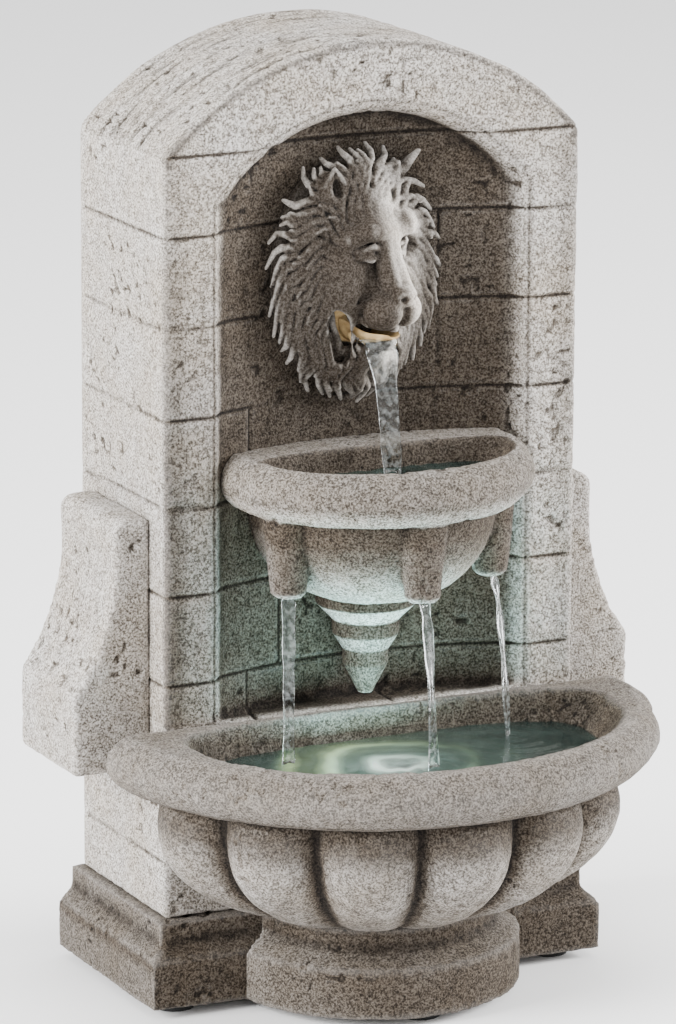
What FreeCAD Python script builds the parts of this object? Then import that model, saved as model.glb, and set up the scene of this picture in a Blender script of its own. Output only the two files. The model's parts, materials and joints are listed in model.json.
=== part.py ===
import FreeCAD, Part
import math
import os

V = FreeCAD.Vector

# An indoor wall fountain in cast stone: an arched wall with a niche, a lion mask that
# pours into an upper bowl, and a lobed basin below. Millimetres, +Z up, front towards -Y.
# The pieces are laid out with the wall face at y = 0 and shifted at the end, so that the
# origin is under the middle of the whole fountain.

# Driving sizes: feet, plinth and foot of the basin
foot_height = 4.0
foot_taper = 0.75
foot_radius = 9.0
foot_inset = 16.0
plinth_block_height = 21.0
plinth_round_height = 6.0
plinth_band_height = 9.0
plinth_overhang = 9.5
plinth_back_overhang = 4.0
plinth_band_overhang = 3.5
pedestal_radius = 62.5
pedestal_band_radius = 52.0

# Driving sizes: arched wall, niche and hollow back
wall_width = 188.0
wall_depth = 86.0
wall_side_height = 317.5
wall_arch_rise = 42.5
niche_width = 142.0
niche_crown_margin = 26.0
niche_arch_rise = 37.0
niche_chamfer_width = 5.0
niche_chamfer_depth = 6.0
niche_hollow = 13.0
niche_backing = 9.0
cover_margin = 8.0
cover_ledge = 10.0
cover_thickness = 4.0
cover_clearance = 0.4
course_pitch = 37.2
course_below_spring = 33.0
course_groove_width = 2.0
course_groove_depth = 1.2

# Driving sizes: side scrolls
scroll_front_setback = 14.5
scroll_thickness = 56.5
scroll_reach = 34.0
scroll_top_width = 9.0
scroll_waist_width = 20.0
scroll_lift = 61.0
scroll_height = 106.0
scroll_waist_height = 61.0
scroll_knee_height = 34.0
scroll_corner = 7.0

# Driving sizes: lower basin and the pump sump behind it
basin_height = 81.0
rim_height = 23.0
rim_half_width = 121.0
rim_reach = 115.0
rim_roll = 9.0
lobe_count = 7
lobe_half_width = 93.5
lobe_reach = 89.5
lobe_bulge = 13.0
lobe_foot_radius = 50.0
opening_half_width = 95.0
opening_front_band = 14.0
opening_back_band = 3.0
opening_widest = 30.0
basin_floor_half_width = 44.0
basin_floor_front = 62.0
basin_floor_back = 8.0
basin_floor_middle = 36.0
basin_floor_thickness = 20.0
sump_half_width = 50.0
sump_wall = 6.0
sump_floor = 6.0
sump_height = 54.0
sump_reach = 76.0
sump_seat_clearance = 0.5
channel_half_width = 36.0
channel_height = 30.0

# Driving sizes: upper bowl, its drip spouts and the stepped drop under it
bowl_above_basin = 111.0
bowl_rim_height = 22.0
bowl_half_width = 67.0
bowl_reach = 64.0
bowl_rim_roll = 7.0
bowl_body_inset = 15.0
bowl_body_height = 40.0
bowl_foot_half_width = 23.0
bowl_opening_half_width = 55.0
bowl_opening_front_band = 13.0
bowl_opening_back_band = 2.0
bowl_opening_widest = 14.0
bowl_floor_half_width = 28.0
bowl_floor_front = 34.0
bowl_floor_back = 6.0
bowl_floor_middle = 18.0
bowl_depth = 36.0
spout_radius = 10.5
spout_tip_radius = 7.5
spout_tip_bevel = 2.0
spout_drop = 34.0
spout_bore = 2.2
front_spout_reach = 46.0
side_spout_spread = 46.0
side_spout_reach = 16.0
drop_radii = (21.0, 14.0, 9.5)
drop_tier_height = 13.0
drop_tier_band = 6.0
drop_tip_radius = 3.0
drop_tip_height = 19.0
drop_axis_back = 6.5

# Driving sizes: lion mask and its mouth spout
mask_above_bowl = 70.0
mask_half_width = 46.0
mask_half_height = 54.0
head_reach = 33.5
head_turn = 26.0
head_aside = 3.0
head_off_niche = 5.0
mane_half_depth = 14.0
mane_inset = 5.0
mane_tuft_count = 18
mane_tuft_radius = 8.0
mane_tip_radius = 2.0
mane_tuft_length = 19.0
mane_tuft_rise = 4.0
mouth_below_centre = 18.0
mouth_spout_radius = 10.5
mouth_spout_wall = 2.5
mouth_spout_reach = 16.0
mouth_plate = 3.0
mask_back_wall = 3.0

# Driving sizes: pump, riser tube and elbow
pump_back = 46.0
pump_width = 36.0
pump_height = 34.0
pump_motor_length = 40.0
pump_front_length = 7.0
cup_height = 5.0
cup_radius = 6.0
cup_neck_radius = 3.0
cup_inset = 7.0
rotor_radius = 7.0
rotor_length = 24.0
rotor_end_play = 1.0
rotor_well_radius = 8.0
rotor_well_wall = 1.0
rotor_well_end = 2.0
stator_radius = 15.0
stator_length = 14.0
stator_gap = 0.4
winding_length = 4.6
end_cap_thickness = 3.5
chamber_radius = 11.5
chamber_depth = 13.0
chamber_plate_radius = 13.2
chamber_plate_thickness = 2.5
inlet_hole_radius = 2.4
inlet_circle_radius = 6.4
blade_count = 6
blade_radius = 9.5
blade_thickness = 1.2
blade_height = 6.0
hub_disc_thickness = 1.5
shaft_radius = 1.2
shaft_play = 0.05
bush_radius = 2.6
bush_play = 0.1
bush_length = 3.0
strainer_depth = 13.0
strainer_wall = 2.0
strainer_slot_width = 2.4
strainer_slot_count = 5
dial_radius = 7.5
dial_thickness = 3.0
dial_grip_width = 3.0
dial_grip_height = 2.5
dial_pin_radius = 2.0
nozzle_radius = 4.8
nozzle_bore = 3.2
nozzle_height = 15.0
nozzle_flange_radius = 8.0
nozzle_flange_thickness = 2.0
nozzle_spigot_length = 3.0
tube_radius = 6.5
tube_bore = 5.0
elbow_bend = 12.0
elbow_barb_length = 14.0
elbow_flange_radius = 9.0
elbow_flange_thickness = 3.0
seal_thickness = 1.5
clip_half_width = 10.0
clip_height = 8.0
clip_wall = 3.0
clip_count = 2

# Driving sizes: underwater lamp
lamp_radius = 17.0
lamp_height = 12.0
lamp_wall = 2.0
lamp_floor = 3.0
lamp_board_thickness = 1.6
lamp_chip_half = 1.8
lamp_chip_height = 1.0
lamp_chip_circle = 6.5
lamp_chip_count = 6
lamp_seal_radius = 1.2
lamp_lens_edge = 2.0
lamp_lens_rise = 4.0
lamp_ring_overlap = 3.0
lamp_ring_thickness = 1.5
lamp_standoff = 2.0

# Driving sizes: cover screws, cable grommet and hidden fixings
cover_screw_radius = 1.5
cover_screw_head_radius = 3.2
cover_screw_head_height = 2.0
cover_screw_length = 14.0
cover_screw_low = 40.0
cover_screw_high = 47.0
cover_screw_rows = 3
screw_play = 0.3
grommet_across = 42.0
grommet_lift = 32.0
grommet_bore = 3.2
grommet_neck = 6.0
grommet_flange = 8.5
grommet_lip = 2.0
dowel_radius = 3.0
dowel_depth = 10.0
dowel_backs = (32.0, 56.0)
dowel_lift = 51.0
bowl_bolt_radius = 2.5
bowl_bolt_spread = 22.0
bowl_bolt_below_top = 27.0
mask_bolt_radius = 2.0
mask_bolt_spread = 22.0
mask_bolt_above_centre = 16.0
bolt_head_ratio = 1.8
bolt_head_height = 3.5
bolt_bite = 8.0
base_bolt_radius = 3.0
base_bolt_head_radius = 5.5
base_bolt_head_height = 5.0
base_bolt_recess = 6.0
base_bolt_bite = 12.0
base_bolt_spread = 60.0
base_bolt_inset = 20.0
fixing_play = 0.15
bond_gap = 0.25

# Levels and places that follow from the driving sizes
plinth_round = foot_height + plinth_block_height
plinth_band = plinth_round + plinth_round_height
plinth_top = plinth_band + plinth_band_height
wall_half = wall_width / 2
wall_spring = plinth_top + wall_side_height
wall_crest = wall_spring + wall_arch_rise
wall_arch_radius = (wall_half ** 2 + wall_arch_rise ** 2) / (2 * wall_arch_rise)
niche_half = niche_width / 2
niche_crest = wall_crest - niche_crown_margin
niche_arch_radius = (niche_half ** 2 + niche_arch_rise ** 2) / (2 * niche_arch_rise)
niche_depth = niche_chamfer_depth + niche_hollow
niche_back_half = niche_half - niche_chamfer_width
niche_back_radius = (niche_back_half ** 2 + niche_hollow ** 2) / (2 * niche_hollow)
cavity_front = niche_depth + niche_backing
cavity_inset = cover_margin + cover_ledge
cavity_floor = plinth_top + cavity_inset
cover_inner = wall_depth - cover_thickness
rim_top = plinth_top + basin_height
rim_bottom = rim_top - rim_height
basin_floor = plinth_top + basin_floor_thickness
sump_base = cavity_floor
sump_top = sump_base + sump_height
sump_inside = sump_base + sump_floor
bowl_top = rim_top + bowl_above_basin
bowl_rim_bottom = bowl_top - bowl_rim_height
bowl_foot = bowl_rim_bottom - bowl_body_height
bowl_floor = bowl_top - bowl_depth
drop_bottom = bowl_foot - drop_tier_height * (len(drop_radii) - 1) - drop_tip_height
bowl_bolt_height = bowl_top - bowl_bolt_below_top
mask_centre = bowl_top + mask_above_bowl
mask_bolt_height = mask_centre + mask_bolt_above_centre
mouth_height = mask_centre - mouth_below_centre
mouth_back = niche_depth - mask_back_wall
head_back = niche_depth - head_off_niche
scroll_bottom = plinth_top + scroll_lift
scroll_top = scroll_bottom + scroll_height
scroll_waist = scroll_bottom + scroll_waist_height
scroll_knee = scroll_bottom + scroll_knee_height
dowel_height = scroll_bottom + dowel_lift
grommet_height = plinth_top + grommet_lift
pump_base = sump_inside + cup_height
pump_axis = pump_base + pump_height / 2
pump_top = pump_base + pump_height
tube_foot = pump_top + nozzle_flange_thickness
tube_head = mouth_height - elbow_bend - elbow_flange_thickness
lamp_back = -basin_floor_middle
whole_back = wall_depth + plinth_back_overhang
to_middle = V(0, (rim_reach - whole_back) / 2, 0)
beyond = 1.0
oval_steps = 14
hollow_squareness = 0.6


def block(x_low, x_high, y_low, y_high, z_low, z_high):
    """A plain box between two corners."""
    return Part.makeBox(x_high - x_low, y_high - y_low, z_high - z_low, V(x_low, y_low, z_low))


def rod(radius, start, end):
    """A round rod between two points."""
    return Part.makeCylinder(radius, (end - start).Length, start, end - start)


def sleeve(outer, inner, start, end):
    """A round tube between two points."""
    return rod(outer, start, end).cut(rod(inner, start, end))


def polygon(points):
    """A closed wire of straight edges."""
    return Part.makePolygon(points + points[:1])


def ellipsoid(centre, half_x, half_y, half_z):
    """A ball stretched to three half sizes."""
    stretch = FreeCAD.Matrix()
    stretch.scale(half_x, half_y, half_z)
    stretch.move(centre)
    return Part.makeSphere(1.0).transformGeometry(stretch)


def arch_wire(half, bottom, crest, radius, y):
    """An arched outline that faces the front: straight sides under a round head."""
    spring = crest - radius + math.sqrt(radius ** 2 - half ** 2)
    corners = [V(-half, y, spring), V(-half, y, bottom), V(half, y, bottom), V(half, y, spring)]
    edges = [Part.LineSegment(corners[k], corners[k + 1]).toShape() for k in range(3)]
    edges.append(Part.Arc(corners[3], V(0, y, crest), corners[0]).toShape())
    return Part.Wire(edges)


def arch_prism(inset, bottom, y_low, y_high):
    """The wall's arched outline, drawn in by inset, as a slab between two depths."""
    wire = arch_wire(wall_half - inset, bottom, wall_crest - inset, wall_arch_radius - inset, y_low)
    return Part.Face(wire).extrude(V(0, y_high - y_low, 0))


def niche_space(gap):
    """The room inside the niche, with gap left free at its walls."""
    slope = niche_chamfer_width / niche_chamfer_depth
    wires = []
    for depth in (-beyond, niche_chamfer_depth):
        inset = slope * depth + gap
        half = niche_half - inset
        wires.append(arch_wire(half, rim_top, niche_crest - inset, niche_arch_radius - inset, depth))
    mouth = Part.makeLoft(wires, True, True)
    throat = Part.Face(wires[1]).extrude(V(0, niche_hollow + beyond, 0))
    axis = V(0, niche_depth - niche_back_radius, 0)
    curve = Part.makeCylinder(niche_back_radius - gap, wall_crest, axis)
    return mouth.fuse(throat.common(curve))


def in_front_or_niche():
    """All the room that a piece may take in front of the wall and inside the niche."""
    front = block(-wall_width, wall_width, -wall_width, 0, 0, wall_crest)
    return front.fuse(niche_space(bond_gap))


def oval_front(half_width, reach, z):
    """Points along half an oval in front of the wall face, from left to right."""
    points = [V(-half_width, 0, z)]
    for step in range(1, oval_steps):
        turn = math.pi * step / oval_steps
        points.append(V(-half_width * math.cos(turn), -reach * math.sin(turn), z))
    return points + [V(half_width, 0, z)]


def apron_wire(half_width, reach, back, z):
    """Half an oval in front, with straight sides that run back to a straight edge."""
    points = oval_front(half_width, reach, z)
    curve = Part.BSplineCurve()
    curve.interpolate(Points=points, InitialTangent=V(0, -1, 0), FinalTangent=V(0, 1, 0))
    edges = [curve.toShape()]
    corners = [points[-1], V(half_width, back, z), V(-half_width, back, z), points[0]]
    for k in range(3):
        if (corners[k + 1] - corners[k]).Length > 0:
            edges.append(Part.LineSegment(corners[k], corners[k + 1]).toShape())
    return Part.Wire(edges)


def hollow_wire(half_width, front, widest, back, z):
    """The outline of a hollow at one height: an oval in front of its widest line, squarer behind it.

    front, widest and back are distances in front of the wall face."""
    points = []
    for step in range(2 * oval_steps):
        turn = math.pi * step / oval_steps
        across = math.cos(turn)
        behind = math.sin(turn)
        if behind > 0:
            across = math.copysign(abs(across) ** hollow_squareness, across)
            y = (widest - back) * behind ** hollow_squareness - widest
        else:
            y = (front - widest) * behind - widest
        points.append(V(half_width * across, y, z))
    curve = Part.BSplineCurve()
    curve.interpolate(Points=points, PeriodicFlag=True)
    return Part.Wire([curve.toShape()])


def lobed_wire(half_width, reach, bulge, z):
    """Half an oval broken into equal round lobes, closed along the wall face."""
    turn = math.pi / lobe_count
    edges = []
    for lobe in range(lobe_count):
        stops = []
        for place, swell in ((lobe, 0), (lobe + 0.5, bulge), (lobe + 1, 0)):
            x = -(half_width + swell) * math.cos(turn * place)
            y = -(reach + swell) * math.sin(turn * place)
            stops.append(V(x, y, z))
        edges.append(Part.Arc(*stops).toShape())
    edges.append(Part.LineSegment(V(half_width, 0, z), V(-half_width, 0, z)).toShape())
    return Part.Wire(edges)


def rolled_rim(half_width, reach, top, height, roll, back):
    """A thick rounded rim: widest at mid height, drawn in by roll at both edges."""
    wires = []
    for share, draw in ((0.0, 1.0), (0.2, 0.36), (0.5, 0.0), (0.8, 0.3), (1.0, 1.0)):
        z = top - height + share * height
        wires.append(apron_wire(half_width - roll * draw, reach - roll * draw, back, z))
    return Part.makeLoft(wires, True, False)


def tapered_pit(mouth_outline, floor_outline, top, floor):
    """A rounded hollow from a wide mouth down to a small flat floor, each given as an outline."""
    wires = []
    for share, widen in ((0.0, 0.0), (0.15, 0.25), (0.4, 0.48), (0.62, 0.64), (0.88, 0.9), (1.0, 1.0)):
        outline = [low + (high - low) * widen for low, high in zip(floor_outline, mouth_outline)]
        wires.append(hollow_wire(*outline, floor + (top - floor) * share))
    pit = Part.makeLoft(wires, True, False)
    mouth = Part.Face(wires[-1]).extrude(V(0, 0, beyond))
    return pit.fuse(mouth)


# Wall shell

def course_grooves():
    """The shallow joints between the stone courses, on the front and both sides."""
    grooves = []
    heights = [wall_spring]
    z = wall_spring - course_below_spring
    while z > plinth_top + course_groove_width:
        heights.append(z)
        z -= course_pitch
    for z in heights:
        low = z - course_groove_width / 2
        high = z + course_groove_width / 2
        side = wall_half - course_groove_depth
        grooves.append(block(-wall_width, wall_width, -beyond, course_groove_depth, low, high))
        grooves.append(block(-wall_width, -side, -beyond, wall_depth + beyond, low, high))
        grooves.append(block(side, wall_width, -beyond, wall_depth + beyond, low, high))
    return grooves


def scroll_dowel(side, back, play):
    start = V(side * (wall_half - dowel_depth - play), back, dowel_height)
    return rod(dowel_radius + play, start, V(side * (wall_half + dowel_depth + play), back, dowel_height))


def base_bolt_places():
    places = []
    for x in (-base_bolt_spread, base_bolt_spread):
        for y in (base_bolt_inset, wall_depth - base_bolt_inset):
            places.append((x, y))
    return places


def cover_screw_places():
    across = wall_half - cover_margin - cover_ledge / 2
    places = []
    low = plinth_top + cover_screw_low
    step = (wall_spring - cover_screw_high - low) / (cover_screw_rows - 1)
    for x in (-across, across):
        for row in range(cover_screw_rows):
            places.append((x, low + step * row))
    return places


def make_wall_shell():
    wall = arch_prism(0, plinth_top, 0, wall_depth)
    window = block(-sump_half_width - sump_seat_clearance, sump_half_width + sump_seat_clearance,
                   -beyond, cavity_front + beyond, sump_base, sump_top + sump_seat_clearance)
    cuts = [niche_space(0), window]
    cuts.append(arch_prism(cavity_inset, cavity_floor, cavity_front, wall_depth + beyond))
    cuts.append(arch_prism(cover_margin, plinth_top + cover_margin, cover_inner, wall_depth + beyond))
    mouth = V(0, cavity_front + beyond, mouth_height)
    cuts.append(rod(tube_bore + fixing_play, V(0, 0, mouth_height), mouth))
    for radius, spread, z in bolt_rows():
        for x in (-spread, spread):
            cuts.append(rod(radius + fixing_play, V(x, 0, z), V(x, cavity_front + beyond, z)))
    for side in (-1, 1):
        for back in dowel_backs:
            cuts.append(scroll_dowel(side, back, fixing_play))
    for x, y in base_bolt_places():
        top = plinth_top + base_bolt_bite + fixing_play
        cuts.append(rod(base_bolt_radius + fixing_play, V(x, y, plinth_top - beyond), V(x, y, top)))
    for x, z in cover_screw_places():
        depth = wall_depth - cover_screw_length - screw_play
        cuts.append(rod(cover_screw_radius + screw_play, V(x, depth, z), V(x, cover_inner + beyond, z)))
    return wall.cut(cuts + course_grooves())


def bolt_rows():
    """Radius, half spacing and height of the bolts that hold the bowl and the mask."""
    return ((bowl_bolt_radius, bowl_bolt_spread, bowl_bolt_height),
            (mask_bolt_radius, mask_bolt_spread, mask_bolt_height))


def wall_bolts(radius, spread, z):
    """A pair of bolts put through the niche wall from inside the hollow back."""
    bolts = []
    for x in (-spread, spread):
        head = rod(radius * bolt_head_ratio, V(x, cavity_front, z), V(x, cavity_front + bolt_head_height, z))
        shank = rod(radius, V(x, niche_depth - bolt_bite, z), V(x, cavity_front, z))
        bolts.append(head.fuse(shank).removeSplitter())
    return Part.makeCompound(bolts)


def bolt_holes(radius, spread, z):
    holes = []
    for x in (-spread, spread):
        end = V(x, niche_depth - bolt_bite - fixing_play, z)
        holes.append(rod(radius + fixing_play, end, V(x, cavity_front, z)))
    return holes


# Side scrolls

def make_scroll(side):
    def at(out, z):
        return V(side * (wall_half + out), scroll_front_setback, z)
    top_turn = scroll_corner * (1 - math.sqrt(0.5))
    edges = [
        Part.LineSegment(at(0, scroll_bottom), at(0, scroll_top)).toShape(),
        Part.LineSegment(at(0, scroll_top), at(scroll_top_width, scroll_top)).toShape(),
        Part.Arc(at(scroll_top_width, scroll_top),
                 at(scroll_top_width + scroll_corner - top_turn, scroll_top - top_turn),
                 at(scroll_top_width + scroll_corner, scroll_top - scroll_corner)).toShape(),
        Part.Arc(at(scroll_top_width + scroll_corner, scroll_top - scroll_corner),
                 at(scroll_waist_width, scroll_waist), at(scroll_reach, scroll_knee)).toShape(),
        Part.LineSegment(at(scroll_reach, scroll_knee), at(scroll_reach, scroll_bottom)).toShape(),
        Part.LineSegment(at(scroll_reach, scroll_bottom), at(0, scroll_bottom)).toShape(),
    ]
    scroll = Part.Face(Part.Wire(edges)).extrude(V(0, scroll_thickness, 0))
    return scroll.cut([scroll_dowel(side, back, fixing_play) for back in dowel_backs])


# Plinth, pedestal and feet

def plinth_rectangle(overhang, back_overhang, z):
    x = wall_half + overhang
    y = wall_depth + back_overhang
    return polygon([V(-x, -overhang, z), V(x, -overhang, z), V(x, y, z), V(-x, y, z)])


def make_plinth():
    back_band = min(plinth_band_overhang, plinth_back_overhang)
    low = Part.Face(plinth_rectangle(plinth_overhang, plinth_back_overhang, foot_height))
    plinth = low.extrude(V(0, 0, plinth_block_height))
    plinth = plinth.fuse(Part.makeLoft([
        plinth_rectangle(plinth_overhang, plinth_back_overhang, plinth_round),
        plinth_rectangle(plinth_band_overhang, back_band, plinth_band)], True, True))
    band = Part.Face(plinth_rectangle(plinth_band_overhang, back_band, plinth_band))
    plinth = plinth.fuse(band.extrude(V(0, 0, plinth_band_height))).removeSplitter()
    cuts = []
    for x, y in base_bolt_places():
        recess = V(x, y, foot_height + base_bolt_recess + base_bolt_head_height)
        cuts.append(rod(base_bolt_radius + fixing_play, V(x, y, foot_height), V(x, y, plinth_top + beyond)))
        cuts.append(rod(base_bolt_head_radius + fixing_play, V(x, y, foot_height - beyond), recess))
    return plinth.cut(cuts)


def make_base_bolts():
    bolts = []
    for x, y in base_bolt_places():
        seat = V(x, y, foot_height + base_bolt_recess + base_bolt_head_height)
        head = rod(base_bolt_head_radius, V(x, y, foot_height + base_bolt_recess), seat)
        shank = rod(base_bolt_radius, seat, V(x, y, plinth_top + base_bolt_bite))
        bolts.append(head.fuse(shank).removeSplitter())
    return Part.makeCompound(bolts)


def make_pedestal(plinth):
    outline = polygon([
        V(0, 0, foot_height), V(pedestal_radius, 0, foot_height), V(pedestal_radius, 0, plinth_round),
        V(pedestal_band_radius, 0, plinth_band), V(pedestal_band_radius, 0, plinth_top),
        V(0, 0, plinth_top)])
    drum = Part.Face(outline).revolve(V(0, 0, 0), V(0, 0, 1), 360)
    front = block(-pedestal_radius, pedestal_radius, -2 * pedestal_radius, 0, 0, plinth_top)
    return drum.common(front).cut(plinth)


def make_feet():
    x = wall_half + plinth_overhang - foot_inset
    back = wall_depth + plinth_back_overhang - foot_inset
    front = foot_inset - plinth_overhang
    places = [(-x, front), (x, front), (-x, back), (x, back), (0, foot_inset - pedestal_radius)]
    feet = []
    for across, deep in places:
        feet.append(Part.makeCone(foot_radius, foot_radius - foot_taper, foot_height,
                                  V(across, deep, foot_height), V(0, 0, -1)))
    return Part.makeCompound(feet)


# Lower basin with its pump sump

def make_basin():
    shares = ((0.0, 0.0, 0.4), (0.14, 0.4, 0.7), (0.32, 0.7, 0.92),
              (0.55, 0.92, 1.0), (0.8, 1.0, 0.95), (1.0, 1.0, 0.6))
    wires = []
    for share, widen, swell in shares:
        half_width = lobe_foot_radius + (lobe_half_width - lobe_foot_radius) * widen
        reach = lobe_foot_radius + (lobe_reach - lobe_foot_radius) * widen
        z = plinth_top + (rim_bottom - plinth_top) * share
        wires.append(lobed_wire(half_width, reach, lobe_bulge * swell, z))
    basin = Part.makeLoft(wires, True, False)
    basin = basin.fuse(rolled_rim(rim_half_width, rim_reach, rim_top, rim_height, rim_roll, 0))
    basin = basin.fuse(block(-sump_half_width, sump_half_width, 0, sump_reach, sump_base, sump_top))
    mouth = (opening_half_width, rim_reach - opening_front_band, opening_widest, opening_back_band)
    floor = (basin_floor_half_width, basin_floor_front, basin_floor_middle, basin_floor_back)
    pit = tapered_pit(mouth, floor, rim_top, basin_floor)
    inner = sump_half_width - sump_wall
    well = block(-inner, inner, sump_wall, sump_reach - sump_wall, sump_inside, sump_top + beyond)
    channel = block(-channel_half_width, channel_half_width, -basin_floor_middle,
                    sump_wall + beyond, sump_inside, sump_inside + channel_height)
    return basin.cut([pit, well, channel]).removeSplitter()


# Upper bowl, drip spouts and stepped drop

def spout_places():
    return ((0, -front_spout_reach), (-side_spout_spread, -side_spout_reach),
            (side_spout_spread, -side_spout_reach))


def make_upper_bowl(room):
    back = niche_depth + beyond
    body_half = bowl_half_width - bowl_body_inset
    body_reach = bowl_reach - bowl_body_inset
    wires = []
    for share, widen in ((0.0, 0.0), (0.2, 0.5), (0.5, 0.82), (0.85, 0.98), (1.0, 1.0)):
        half_width = bowl_foot_half_width + (body_half - bowl_foot_half_width) * widen
        reach = bowl_foot_half_width + (body_reach - bowl_foot_half_width) * widen
        wires.append(apron_wire(half_width, reach, back, bowl_foot + bowl_body_height * share))
    bowl = Part.makeLoft(wires, True, False)
    added = [rolled_rim(bowl_half_width, bowl_reach, bowl_top, bowl_rim_height, bowl_rim_roll, back)]
    for x, y in spout_places():
        shoulder = V(x, y, bowl_rim_bottom - spout_drop + spout_tip_bevel)
        body = Part.makeCone(spout_tip_radius, spout_radius, spout_drop - spout_tip_bevel, shoulder)
        tip = Part.makeCone(spout_tip_radius, spout_tip_radius - spout_tip_bevel, spout_tip_bevel,
                            shoulder, V(0, 0, -1))
        added.append(body.fuse(tip))
    bowl = bowl.fuse(added).common(room)
    mouth = (bowl_opening_half_width, bowl_reach - bowl_opening_front_band, bowl_opening_widest,
             bowl_opening_back_band)
    floor = (bowl_floor_half_width, bowl_floor_front, bowl_floor_middle, bowl_floor_back)
    cuts = [tapered_pit(mouth, floor, bowl_top, bowl_floor)]
    for x, y in spout_places():
        cuts.append(rod(spout_bore, V(x, y, bowl_foot - spout_drop), V(x, y, bowl_top)))
    return bowl.cut(cuts + bolt_holes(*bolt_rows()[0]))


def make_drop(room):
    """A stepped, pointed drop: each tier is a short band over a rounded underside."""
    corners = [V(0, 0, bowl_foot)]
    z = bowl_foot
    for radius in drop_radii:
        corners.append(V(radius, 0, z))
        corners.append(V(radius, 0, z - drop_tier_band))
        z -= drop_tier_height
    corners += [V(drop_tip_radius, 0, drop_bottom), V(0, 0, drop_bottom)]
    drop = Part.Face(polygon(corners)).revolve(V(0, 0, 0), V(0, 0, 1), 360)
    drop.translate(V(0, drop_axis_back, 0))
    return drop.common(room)


# Lion mask and mouth spout

# Shares of the mask's half width, the head's reach and the mask's half height.
# Each form has the place of its middle, side, ahead and up, and then its three half sizes.
middle_forms = (
    (0.0, 0.06, 0.15, 0.54, 0.57, 0.57),
    (0.0, 0.18, 0.41, 0.37, 0.36, 0.31),
    (0.0, 0.54, 0.15, 0.15, 0.30, 0.31),
    (0.0, 0.81, -0.06, 0.15, 0.19, 0.11),
    (0.0, 0.09, -0.54, 0.28, 0.30, 0.17),
    (0.0, -0.06, -0.70, 0.24, 0.24, 0.28),
)
paired_forms = (
    (0.33, 0.38, 0.32, 0.20, 0.21, 0.10),
    (0.14, 0.63, -0.19, 0.17, 0.30, 0.17),
    (0.35, 0.18, -0.07, 0.22, 0.33, 0.28),
    (0.42, 0.06, 0.70, 0.16, 0.24, 0.18),
)


def mask_form(side, ahead, up, half_side, half_ahead, half_up):
    """One swelling of the lion's head, before the head is turned."""
    centre = V(side * mask_half_width - head_aside, head_back - ahead * head_reach,
               mask_centre + up * mask_half_height)
    return ellipsoid(centre, half_side * mask_half_width, half_ahead * head_reach,
                     half_up * mask_half_height)


def head_forms():
    """Skull, forehead, nose, jaw and beard, then brows, lips, cheeks and ears in pairs."""
    forms = [mask_form(*form) for form in middle_forms]
    for side, *rest in paired_forms:
        forms.append(mask_form(-side, *rest))
        forms.append(mask_form(side, *rest))
    for form in forms:
        form.rotate(V(-head_aside, head_back, 0), V(0, 0, 1), head_turn)
    return forms


def mane_tuft(index):
    """One lock of the mane, a short horn that leans outwards from the edge of the mask."""
    turn = 2 * math.pi * (index + 0.5) / mane_tuft_count
    away = V(math.sin(turn) * mask_half_width, 0, math.cos(turn) * mask_half_height)
    tip = away + V(-head_aside, head_back - mane_tuft_rise, mask_centre)
    start = tip - away * (mane_tuft_length / away.Length)
    return Part.makeCone(mane_tuft_radius, mane_tip_radius, (tip - start).Length, start, tip - start)


def mouth_pocket():
    """The seat of the mouth spout: round at its back plate, half round under the upper lip."""
    radius = mouth_spout_radius + bond_gap
    plate = V(0, mouth_back - mouth_plate - bond_gap, mouth_height)
    seat = rod(radius, plate, V(0, mouth_back, mouth_height))
    channel = rod(radius, V(0, -wall_depth, mouth_height), plate)
    palate = block(-wall_half, wall_half, -wall_depth, niche_depth, mouth_height + bond_gap, wall_crest)
    return seat.fuse(channel.cut(palate))


def make_lion_mask(room):
    mane = ellipsoid(V(-head_aside, head_back, mask_centre), mask_half_width - mane_inset,
                     mane_half_depth, mask_half_height - mane_inset)
    mask = mane.fuse(head_forms() + [mane_tuft(index) for index in range(mane_tuft_count)])
    mask = mask.common(room)
    hose_way = rod(tube_bore + fixing_play, V(0, mouth_back, mouth_height), V(0, niche_depth, mouth_height))
    return mask.cut([mouth_pocket(), hose_way] + bolt_holes(*bolt_rows()[1]))


def make_mouth_spout():
    """The open gutter that carries the water out between the jaws."""
    back = mouth_back
    front = back - mouth_spout_reach
    start = V(0, back, mouth_height)
    end = V(0, front, mouth_height)
    inner = mouth_spout_radius - mouth_spout_wall
    gutter = rod(mouth_spout_radius, start, end)
    gutter = gutter.cut(rod(inner, V(0, back - mouth_plate, mouth_height), end - V(0, beyond, 0)))
    top = block(-wall_half, wall_half, front - beyond, back - mouth_plate, mouth_height, wall_crest)
    hole = rod(tube_bore + fixing_play, start, V(0, back - mouth_plate, mouth_height))
    return gutter.cut([top, hole])


# Water path: nozzle, riser tube, clips, elbow and seal

def make_nozzle():
    bottom = V(0, pump_back, pump_top - nozzle_spigot_length)
    shoulder = V(0, pump_back, pump_top)
    collar = V(0, pump_back, tube_foot)
    tip = V(0, pump_back, tube_foot + nozzle_height)
    nozzle = rod(nozzle_radius, bottom, tip)
    nozzle = nozzle.fuse(rod(nozzle_flange_radius, shoulder, collar))
    return nozzle.cut(rod(nozzle_bore, bottom, tip))


def make_riser_tube():
    return sleeve(tube_radius, tube_bore, V(0, pump_back, tube_foot), V(0, pump_back, tube_head))


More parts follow.
